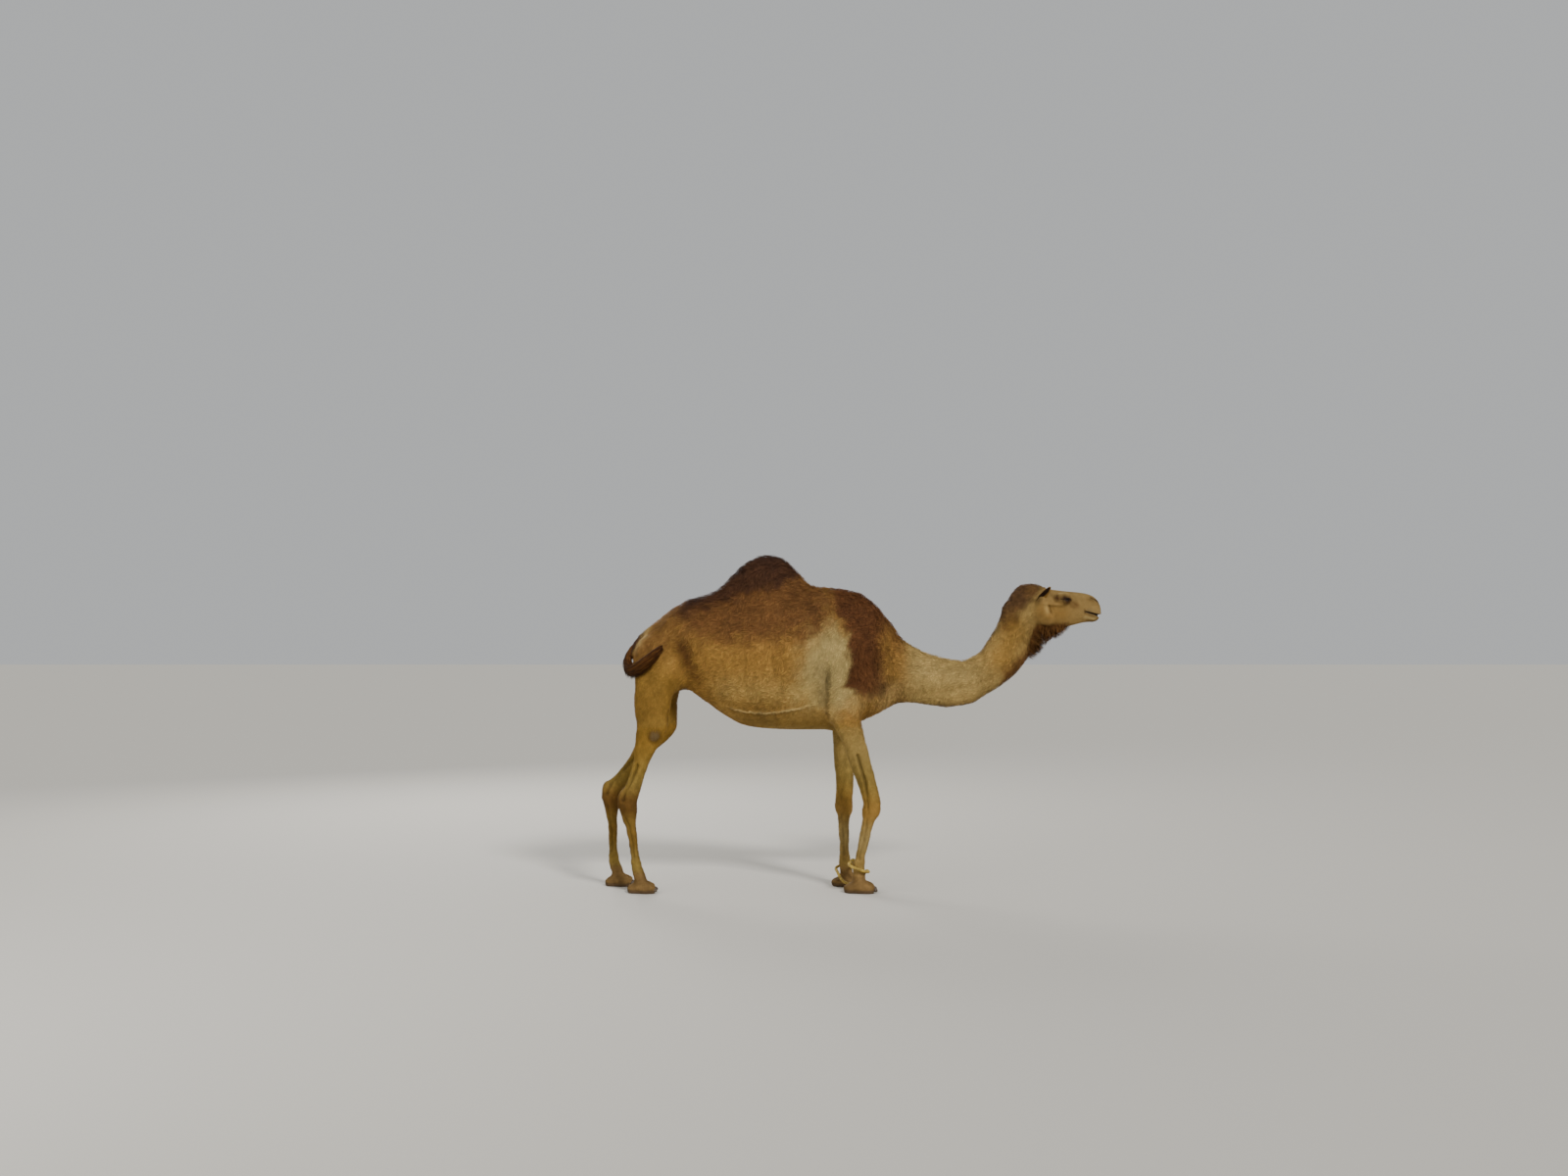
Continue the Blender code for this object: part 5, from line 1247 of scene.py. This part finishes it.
beard = {
    "locks": 4800,
    "width": 0.0021,
    "rootsAbove": (-0.006, 0.0, 0.030),  # from a lock's end to where its root is looked for
    "inward": 0.5,
    "sunk": 0.002,
    "highest": 0.20,  # share of the head's height where the roots end
    "spread": 0.014,
    "sway": 0.05,  # as shares of a lock's length
    "wave": 0.07,
    "rootColour": "#573a1c",
    "colours": ("#45290f", "#583a1c", "#3a210e", "#6b4a24"),
}


def sampleSolid(node, count, rng):  # random places on a solid's surface, drawn a little into it
    a, b, c, _, area = readTriangles(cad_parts[node].data)
    which = rng.choice(len(a), count, p=area / area.sum())
    shares = anywhere(rng, count)
    places = a[which] + (b - a)[which] * shares[:, :1] + (c - a)[which] * shares[:, 1:]
    middle = readPoints(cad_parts[node].data).mean(axis=0)
    return places + (middle - places) * rng.uniform(0.0, 0.35, count)[:, None], middle


def finishLocks(name, node, paths, side, top, softUps, style, uvs, rng, material):
    count = len(paths)
    colours = np.array([linear(h) for h in style["colours"]])[rng.integers(0, len(style["colours"]), count)]
    colours = colours * brighten * (1 + rng.normal(0, 0.14, count))[:, None]
    rootColours = 0.6 * linear(style["rootColour"]) * brighten + 0.4 * colours
    widths = style["width"] * rng.uniform(0.7, 1.2, count)
    piece = makeTufts(name, paths, side[:, None], top[:, None], softUps, widths, colours, rootColours, uvs, material)
    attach(piece, "root")
    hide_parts(node)
    say(f"{name}: {count} locks, {len(piece.data.polygons)} triangles")


def lockWave(steps, slow, fast, total, rng):  # each lock's own wave along its steps
    return np.sin(steps * rng.uniform(slow, fast, total)[:, None] + rng.uniform(0, 6.3, total)[:, None]) * steps


def growBeard(material):  # locks from the jaw and throat down to the outline of the solid
    rng = np.random.default_rng(7)
    ends, middle = sampleSolid("beard", beard["locks"], rng)
    wanted = ends * (1, beard["inward"], 1) + beard["rootsAbove"] + rng.normal(0, beard["spread"], ends.shape)
    starts, ups, uvs = placeOnSkin(wanted)
    starts -= ups * beard["sunk"]
    span = np.linalg.norm(ends - starts, axis=1)
    keep = (span > 0.012) & (starts[:, 2] < spot("head", 0, beard["highest"])[2]) & (ends[:, 2] < starts[:, 2] - 0.004)
    starts, ends, ups, span, uvs = (values[keep] for values in (starts, ends, ups, span, uvs))
    total = len(starts)
    fall = unit(ends - starts)
    side = unit(np.cross(fall, unit(ups + 0.001)))
    top = np.cross(side, fall)
    sway = rng.normal(0, beard["sway"], (total, 3)) * span[:, None]
    bow = starts + ups * (span * 0.10)[:, None] + fall * (span * 0.45)[:, None] + sway
    paths = curvedPaths(starts, bow, ends, 4)
    steps = np.array(tuft["steps"][3])[None]
    wave = lockWave(steps, 4, 9, total, rng) * (1 - steps) * 2
    paths += side[:, None] * (wave * (beard["wave"] * span)[:, None])[:, :, None]
    softUps = unit(top + 0.6 * unit((starts + ends) / 2 - middle))
    finishLocks("throat_beard", "beard", paths, side, top, softUps, beard, uvs, rng, material)


tailTuft = {
    "locks": 2600,
    "width": 0.0030,
    "length": 0.52,  # share of the tuft's path that a lock follows
    "path": (  # shares of the solid's length, half width and height, and the tuft's radius there
        (0.26, -0.02, 0.98, 0.022), (0.13, -0.09, 0.68, 0.027), (0.130, -0.27, 0.40, 0.032), (0.25, -0.52, 0.25, 0.038),
        (0.454, -0.74, 0.36, 0.040), (0.673, -0.87, 0.58, 0.034), (0.873, -0.915, 0.82, 0.023),
        (0.984, -0.92, 0.965, 0.012)),
    "droop": 0.022,
    "wave": 0.004,
    "past": 0.012,  # how far the locks may stand out past the solid's box
    "rootColour": "#44290f",
    "colours": ("#351d0b", "#4a2c12", "#28160a", "#5e3d1b"),
}


def growTailTuft(material):  # locks that follow the tuft's curve, and a few that hang from its underside
    rng = np.random.default_rng(8)
    total = tailTuft["locks"]
    path = np.array([(*spot("tail_tuft", x, z, y), radius) for x, y, z, radius in tailTuft["path"]])
    begin = rng.uniform(-0.10, 0.80, total)
    length = tailTuft["length"] * rng.uniform(0.6, 1.1, total)
    turn, out = rng.uniform(0, 2 * math.pi, total), np.sqrt(rng.random(total))
    steps = np.array(tuft["steps"][3])[None]
    finish = np.maximum(np.minimum(begin + length, rng.uniform(0.84, 1.03, total)), begin + 0.16)
    last = len(path) - 1
    share = np.clip(begin[:, None] + (finish - begin)[:, None] * steps, 0, 1) * last
    line = np.stack([np.interp(share, np.arange(last + 1), column) for column in path.T], axis=2)
    knot = share.astype(int)
    ahead = unit((path[np.minimum(knot + 1, last)] - path[np.minimum(knot, last - 1)])[:, :, :3].reshape(-1, 3))
    across = unit(np.cross(ahead, (0, 0, 1)))
    ahead, across, up = (ways.reshape(total, -1, 3) for ways in (ahead, across, np.cross(across, ahead)))
    radial = across * np.cos(turn)[:, None, None] + up * np.sin(turn)[:, None, None]
    grow = out[:, None] * (0.45 + 0.55 * steps ** 0.6)
    places = line[:, :, :3] + radial * (line[:, :, 3] * grow)[:, :, None]
    beyond = np.clip(finish - 0.97, 0, 1)[:, None] * steps ** 2
    places += ahead[:, -1:] * (beyond * 0.25)[:, :, None]
    hang = np.clip(-np.sin(turn), 0, 1) * (0.3 + rng.random(total))
    places[:, :, 2] -= hang[:, None] * tailTuft["droop"] * steps ** 2
    low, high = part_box("tail_tuft")
    places = np.clip(places, np.array(low) - tailTuft["past"], np.array(high) + tailTuft["past"])
    side = across[:, 2] * np.sin(turn)[:, None] - up[:, 2] * np.cos(turn)[:, None]
    places += side[:, None] * (lockWave(steps, 3, 7, total, rng) * tailTuft["wave"])[:, :, None]
    uvs = placeOnSkin(places[:, 0])[2]
    finishLocks("tail_hair", "tail_tuft", places, side, radial[:, 2], radial[:, 2], tailTuft, uvs, rng, material)


def stretchedNoise(tree, place, stretch, scale=1.0, detail=2):
    mapping = addNode(tree, "ShaderNodeMapping", {"Scale": stretch}, {"Vector": place})
    place = mapping.outputs["Vector"]
    return addNode(tree, "ShaderNodeTexNoise", {"Scale": scale, "Detail": detail}, {"Vector": place}).outputs["Fac"]


def shadeMarkings(tree, shader, grain, dark, light):  # the painted colours, made darker and lighter by the grain
    colour = addNode(tree, "ShaderNodeVertexColor", {"layer_name": "coatColour"})
    tone = addNode(tree, "ShaderNodeMapRange", {"From Min": 0.3, "From Max": 0.7, "To Min": dark, "To Max": light},
                   {"Value": grain})
    mixed = addNode(tree, "ShaderNodeVectorMath", {"operation": "SCALE"},
                    {"Vector": colour.outputs["Color"], "Scale": tone.outputs["Result"]})
    tree.links.new(mixed.outputs["Vector"], shader.inputs["Base Color"])


def roughen(tree, shader, height, strength, distance):
    bump = addNode(tree, "ShaderNodeBump", {"Strength": strength, "Distance": distance}, {"Height": height})
    tree.links.new(bump.outputs["Normal"], shader.inputs["Normal"])


def makeHairMaterial():
    # Dull fine hair: light and dark streaks run the length of each tuft, and nothing shines.
    material, tree, shader = newMaterial("camel hair", Roughness=0.72, Specular_IOR_Level=0.10)
    place = addNode(tree, "ShaderNodeUVMap", {"uv_map": "strand"})
    shadeMarkings(tree, shader, stretchedNoise(tree, place.outputs["UV"], (9, 0.8, 1), 1.6), 0.78, 1.18)
    return material


def makeSkinMaterial():
    # The undercoat between the tufts: very short matte hair that runs down or back, and looks like a fine nap.
    material, tree, shader = newMaterial("short hair over skin", Roughness=0.74, Specular_IOR_Level=0.12)
    place = addNode(tree, "ShaderNodeTexCoord").outputs["Object"]
    down, back = stretchedNoise(tree, place, (420, 420, 60)), stretchedNoise(tree, place, (60, 420, 420))
    share = addNode(tree, "ShaderNodeAttribute", {"attribute_name": "lieBack"}).outputs["Fac"]
    hair = addNode(tree, "ShaderNodeMix", {"data_type": "FLOAT"}, {"Factor": share, "A": down, "B": back}).outputs[0]
    shadeMarkings(tree, shader, hair, 0.80, 1.12)
    roughen(tree, shader, hair, 0.6, 0.0012)
    return material


undercoat = {
    "shade": 0.85,  # painted shade between the tufts: how dark the skin is against the coat, and how much lighter on the face
    "faceLighter": 0.10,
    "wet": "#241a12",  # the dark lining inside the lids and the mouth, with painted shade in the lid openings and the mouth's gap
}


def paintSkin(skin):
    mesh = skin.data
    points, normals, ear = readPoints(mesh), readNormals(mesh), readFloat(mesh, "ear")
    areas = readAreas(points, ear)
    # Painted shade: the skin between the tufts is darker than the coat, and darker still at the bottom of deep grooves.
    share = undercoat["shade"] + undercoat["faceLighter"] * areas["face"]
    share *= 1 - grooveShade * readFloat(mesh, "groove")
    colour = paintEars(paint(points, areas), points, normals, ear) * share[:, None]
    # The lids' and mouth's dark lining, with painted shade in the lid openings and the mouth's gap.
    wet = readFloat(mesh, "lidOpening") + readFloat(mesh, "mouthGap") + 0.8 * readFloat(mesh, "lidRim")
    colour += (linear(undercoat["wet"]) - colour) * np.clip(wet, 0, 1)[:, None]
    addAttribute(mesh, "coatColour", "FLOAT_COLOR", np.column_stack([colour, np.ones(len(colour))]))
    way = hairWay(points, normals, ear)
    addAttribute(mesh, "lieBack", "FLOAT", np.clip(np.abs(way[:, 0]) * 1.4 - 0.2, 0, 1))


eyeball = {
    "irisColours": ("#1d0f07", "#4a2a12"),
    "pupilColour": "#050403",
    "pupilEdge": (0.17, 0.22),  # where the pupil ends and the iris begins, as shares of the eyeball's radius
    "pupilHeight": 0.55,  # against its width, so that it lies flat
    "bulge": 0.05,  # of the cornea
}


def makeEyes():
    # A wet cornea over a brown iris and a wide black pupil: dark, with one small sharp highlight.
    material, tree, shader = newMaterial("wet dark eye", Roughness=0.12, Specular_IOR_Level=0.2, Coat_Weight=0.6,
                                         Coat_Roughness=0.03)
    place = addNode(tree, "ShaderNodeAttribute", {"attribute_name": "eyePlace"})
    parts = addNode(tree, "ShaderNodeSeparateXYZ", None, {"Vector": place.outputs["Vector"]})
    squash = {"operation": "MULTIPLY", 1: eyeball["pupilHeight"]}
    wide = addNode(tree, "ShaderNodeMath", squash, {0: parts.outputs["X"]})
    flat = addNode(tree, "ShaderNodeCombineXYZ", None, {"X": wide.outputs[0], "Y": parts.outputs["Y"]})
    size = addNode(tree, "ShaderNodeVectorMath", {"operation": "LENGTH"}, {0: flat.outputs["Vector"]})
    first, last = eyeball["pupilEdge"]
    pupil = addNode(tree, "ShaderNodeMapRange", {"From Min": first, "From Max": last}, {"Value": size.outputs["Value"]})
    grain = addNode(tree, "ShaderNodeTexNoise", {"Scale": 9.0, "Detail": 3}, {"Vector": place.outputs["Vector"]})
    iris = addNode(tree, "ShaderNodeMix", {"data_type": "RGBA"}, {"Factor": grain.outputs["Fac"]})
    for socket, value in zip([s for s in iris.inputs if s.type == "RGBA"], eyeball["irisColours"]):
        socket.default_value = (*linear(value), 1)
    whole = addNode(tree, "ShaderNodeMix", {"data_type": "RGBA"}, {"Factor": pupil.outputs["Result"]})
    colours = [s for s in whole.inputs if s.type == "RGBA"]
    colours[0].default_value = (*linear(eyeball["pupilColour"]), 1)
    tree.links.new([o for o in iris.outputs if o.type == "RGBA"][0], colours[1])
    tree.links.new([o for o in whole.outputs if o.type == "RGBA"][0], shader.inputs["Base Color"])
    out, front, up = eyeFrame()
    for name, side in (("eye_left", 1), ("eye_right", -1)):
        bpy.ops.mesh.primitive_uv_sphere_add(segments=40, ring_count=24, radius=eyeRadius - 0.0004)
        eye = bpy.context.object
        eye.name = "eyeball_" + name.split("_")[1]
        points = readPoints(eye.data)
        local = np.column_stack([points @ front, points @ up]) / eyeRadius
        bulge = 1 + eyeball["bulge"] * np.exp(-((np.linalg.norm(local, axis=1) / 0.55) ** 2)) * (points @ out > 0)
        placed = (eyeMiddle() + points * bulge[:, None]) * (1, side, 1)
        writePoints(eye.data, placed)
        addAttribute(eye.data, "eyePlace", "FLOAT_VECTOR", np.column_stack([local, points @ out / eyeRadius]))
        if side < 0:
            eye.data.flip_normals()
        eye.data.materials.append(material)
        eye.data.shade_smooth()
        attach(eye, "root")
        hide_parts(name)


nail = {
    "dark": "#352a1f",
    "light": "#5d4c37",
    "ridges": ((0.0002, (0, 1, 0), 0.0045), (0.0004, (0.6, 0, 1), 0.008)),  # height, direction and spacing
}


def makeNails():
    # Dull grey-brown horn, streaked along its growth.
    material, tree, shader = newMaterial("worn horn", Roughness=0.60)
    grain = stretchedNoise(tree, addNode(tree, "ShaderNodeTexCoord").outputs["Object"], (60, 500, 160), detail=3)
    tree.links.new(addRamp(tree, grain, (0.35, nail["dark"]), (0.70, nail["light"])), shader.inputs["Base Color"])
    nodes = [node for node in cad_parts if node.startswith("nail_")]
    nails = joinParts(copyNodes(nodes), "toenails")
    editWhole(nails, weld)
    applyModifier(nails, "SUBSURF", levels=2)
    points, normals = readPoints(nails.data), readNormals(nails.data)
    ridges = sum(height * np.sin(points @ way * 2 * math.pi / pitch) for height, way, pitch in nail["ridges"])
    writePoints(nails.data, points + normals * ridges[:, None])
    nails.data.materials.append(material)
    nails.data.shade_smooth()
    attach(nails, "root")
    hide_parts(*nodes)


rope = {  # the hobble, laid round both pasterns
    "colour": "#c0a040",
    "soiled": "#7d6426",
    "strandRadius": 0.0044,
    "layRadius": 0.0044,  # from the rope's middle to a strand's middle
    "pitch": 0.034,
    "route": (  # shares of the solid's length, half width and height
        (0.908, -0.426, 0.631), (0.958, -0.643, 0.631), (0.878, -0.885, 0.678), (0.674, -0.954, 0.772),
        (0.460, -0.875, 0.873), (0.385, -0.643, 0.934), (0.450, -0.400, 0.947), (0.520, -0.131, 0.914),
        (0.579, 0.133, 0.846), (0.619, 0.413, 0.779), (0.614, 0.645, 0.732), (0.540, 0.877, 0.678),
        (0.330, 0.956, 0.617), (0.121, 0.877, 0.557), (0.042, 0.645, 0.503), (0.081, 0.402, 0.422),
        (0.161, 0.159, 0.233), (0.296, -0.025, 0.085), (0.510, -0.157, 0.058), (0.699, -0.215, 0.186),
        (0.823, -0.289, 0.422)),
    "knotAt": 0.345,  # share of the way round
    "knotTurns": 3.2,
    "knotRadius": 0.0135,
    "knotLength": 0.030,
    "knotStrand": 0.0062,  # radius of the rope in the knot, and of its two ends
    "endStrand": 0.0058,
    "endLength": 0.035,
    "frays": 26,  # loose fibres at each end
    "frayLength": 0.018,
    "fraySpread": 0.004,
    "frayRadius": (0.0007, 0.0002),
}


def tube(path, radii, sides, upHint):  # points and faces of a round tube along a path, closed at its ends
    ahead = unit(np.gradient(path, axis=0))
    across = unit(np.cross(ahead, upHint))
    up = np.cross(across, ahead)
    turns = (np.arange(sides) * 2 * math.pi / sides)[None, :, None]
    spokes = across[:, None] * np.cos(turns) + up[:, None] * np.sin(turns)
    rings = path[:, None] + spokes * np.broadcast_to(radii, len(path))[:, None, None]
    last = (len(path) - 1) * sides
    faces = [(k + j, k + (j + 1) % sides, k + sides + (j + 1) % sides, k + sides + j)
             for k in range(0, last, sides) for j in range(sides)]
    faces += [tuple(range(sides))[::-1], tuple(range(last, last + sides))]
    return rings.reshape(-1, 3), faces


def roundRoute(points, count):  # a smooth closed line through the points, evenly spaced, and its length
    line, t = [], np.linspace(0, 1, 24, endpoint=False)[:, None]
    for k in range(len(points)):
        a, b, c, d = (points[(k + j) % len(points)] for j in (-1, 0, 1, 2))
        bend, twist = 2 * a - 5 * b + 4 * c - d, 3 * b - a - 3 * c + d
        line.append(0.5 * (2 * b + (c - a) * t + bend * t ** 2 + twist * t ** 3))
    line = np.concatenate(line + [points[:1]])
    steps = np.concatenate([[0], np.cumsum(np.linalg.norm(np.diff(line, axis=0), axis=1))])
    wanted = np.linspace(0, steps[-1], count + 1)[:-1]
    return np.column_stack([np.interp(wanted, steps, column) for column in line.T]), steps[-1]


def makeRope():
    # Faded yellow fibre with sand ground in: soft highlights, a fine twist of yarns and browner patches.
    material, tree, shader = newMaterial("yellow nylon rope", Roughness=0.55)
    onYarn = addNode(tree, "ShaderNodeUVMap", {"uv_map": "yarn"}).outputs["UV"]
    yarns = addNode(tree, "ShaderNodeTexWave", {"Scale": 5.0, "Distortion": 1.5, "Detail": 2}, {"Vector": onYarn})
    inSpace = addNode(tree, "ShaderNodeTexCoord").outputs["Object"]
    soil = addNode(tree, "ShaderNodeTexNoise", {"Scale": 38.0, "Detail": 4}, {"Vector": inSpace}).outputs["Fac"]
    tree.links.new(addRamp(tree, soil, (0.30, rope["soiled"]), (0.62, rope["colour"])), shader.inputs["Base Color"])
    roughen(tree, shader, yarns.outputs["Fac"], 0.7, 0.0006)
    middle, length = roundRoute(np.array([spot("hobble_rope", x, z, y) for x, y, z in rope["route"]]), 420)
    turns = round(length / rope["pitch"])
    ahead = unit(np.roll(middle, -1, axis=0) - np.roll(middle, 1, axis=0))
    out = middle - middle.mean(axis=0)
    out = unit(out - ahead * (out * ahead).sum(axis=1)[:, None])
    over = np.cross(ahead, out)
    share = np.arange(len(middle)) / len(middle)
    points, faces, uvs = [], [], []

    def lay(path, radii, sides, hint):
        rings, quads = tube(path, radii, sides, hint)
        faces.extend([tuple(len(points) + k for k in quad) for quad in quads])
        points.extend(rings.tolist())
        uvs.extend((j / sides, k * 0.02) for k in range(len(path)) for j in range(sides))

    for strand in range(3):
        angle = 2 * math.pi * (turns * share + strand / 3)
        path = middle + (out * np.cos(angle)[:, None] + over * np.sin(angle)[:, None]) * rope["layRadius"]
        lay(np.concatenate([path, path[:2]]), rope["strandRadius"], 8, np.concatenate([over, over[:2]]))
    knot = int(rope["knotAt"] * len(middle))
    centre, a, b, c = middle[knot], ahead[knot], out[knot], over[knot]
    t = np.linspace(0, 1, 90)[:, None]
    wind = 2 * math.pi * rope["knotTurns"] * t
    coilRadius = rope["knotRadius"] + 0.002 * np.sin(5 * t)
    coil = centre + a * (t - 0.5) * rope["knotLength"] + (b * np.cos(wind) + c * np.sin(wind)) * coilRadius
    lay(coil, rope["knotStrand"], 8, np.tile(a, (90, 1)))
    for start, way, seed in ((coil[-1], np.array([0.25, 0.1, -1.0]), 1), (coil[0], np.array([-0.2, -0.1, -1.0]), 2)):
        s, q = np.linspace(0, 1, 24)[:, None], np.linspace(0, 1, 6)[:, None]
        end = start + way * rope["endLength"] * s + np.array([0, 0, -0.010]) * s ** 2
        lay(end, rope["endStrand"], 8, np.tile(c, (24, 1)))
        rng = np.random.default_rng(seed)
        for _ in range(rope["frays"]):
            fray = rng.normal(0, 1, 3)
            root = end[-1] + rng.normal(0, 0.0022, 3)
            lay(root + (unit(way[None])[0] * rope["frayLength"] + fray * rope["fraySpread"]) * q,
                np.linspace(*rope["frayRadius"], 6), 3, np.tile(c, (6, 1)))
    mesh = bpy.data.meshes.new("hobble")
    mesh.from_pydata(points, [], faces)
    corners = readRows(mesh.loops, "vertex_index", 1, np.int32)[:, 0]
    mesh.uv_layers.new(name="yarn").data.foreach_set("uv", np.array(uvs)[corners].astype(np.float32).ravel())
    mesh.shade_smooth()
    piece = addObject("hobble", mesh, material)
    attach(piece, "root")
    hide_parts("hobble_rope")
    say(f"hobble: {length:.3f} m of rope, {countTriangles(mesh)} triangles")


skin = buildSkinSurface()
say(f"skin: {countTriangles(skin.data)} triangles")
sculpt(skin)
layCoatDepth(skin)
drawLids(skin)
paintSkin(skin)
skin.data.materials.append(makeSkinMaterial())
skin.data.shade_smooth()
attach(skin, "root")
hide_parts(*bodyNodes, *earNodes)
say("skin: sculpted, drawn in under the coat and painted")
makeEyes()
makeNails()
makeRope()
hair = makeHairMaterial()
onSkin = surfaceTree(skin)
growCoat(hair)
growBeard(hair)
makeLashes(hair)
growTailTuft(hair)
sizes = {"cadLow": list(cadLow), "cadHigh": list(cadHigh)}
sizes["low"], sizes["high"] = [list(v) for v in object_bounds()]
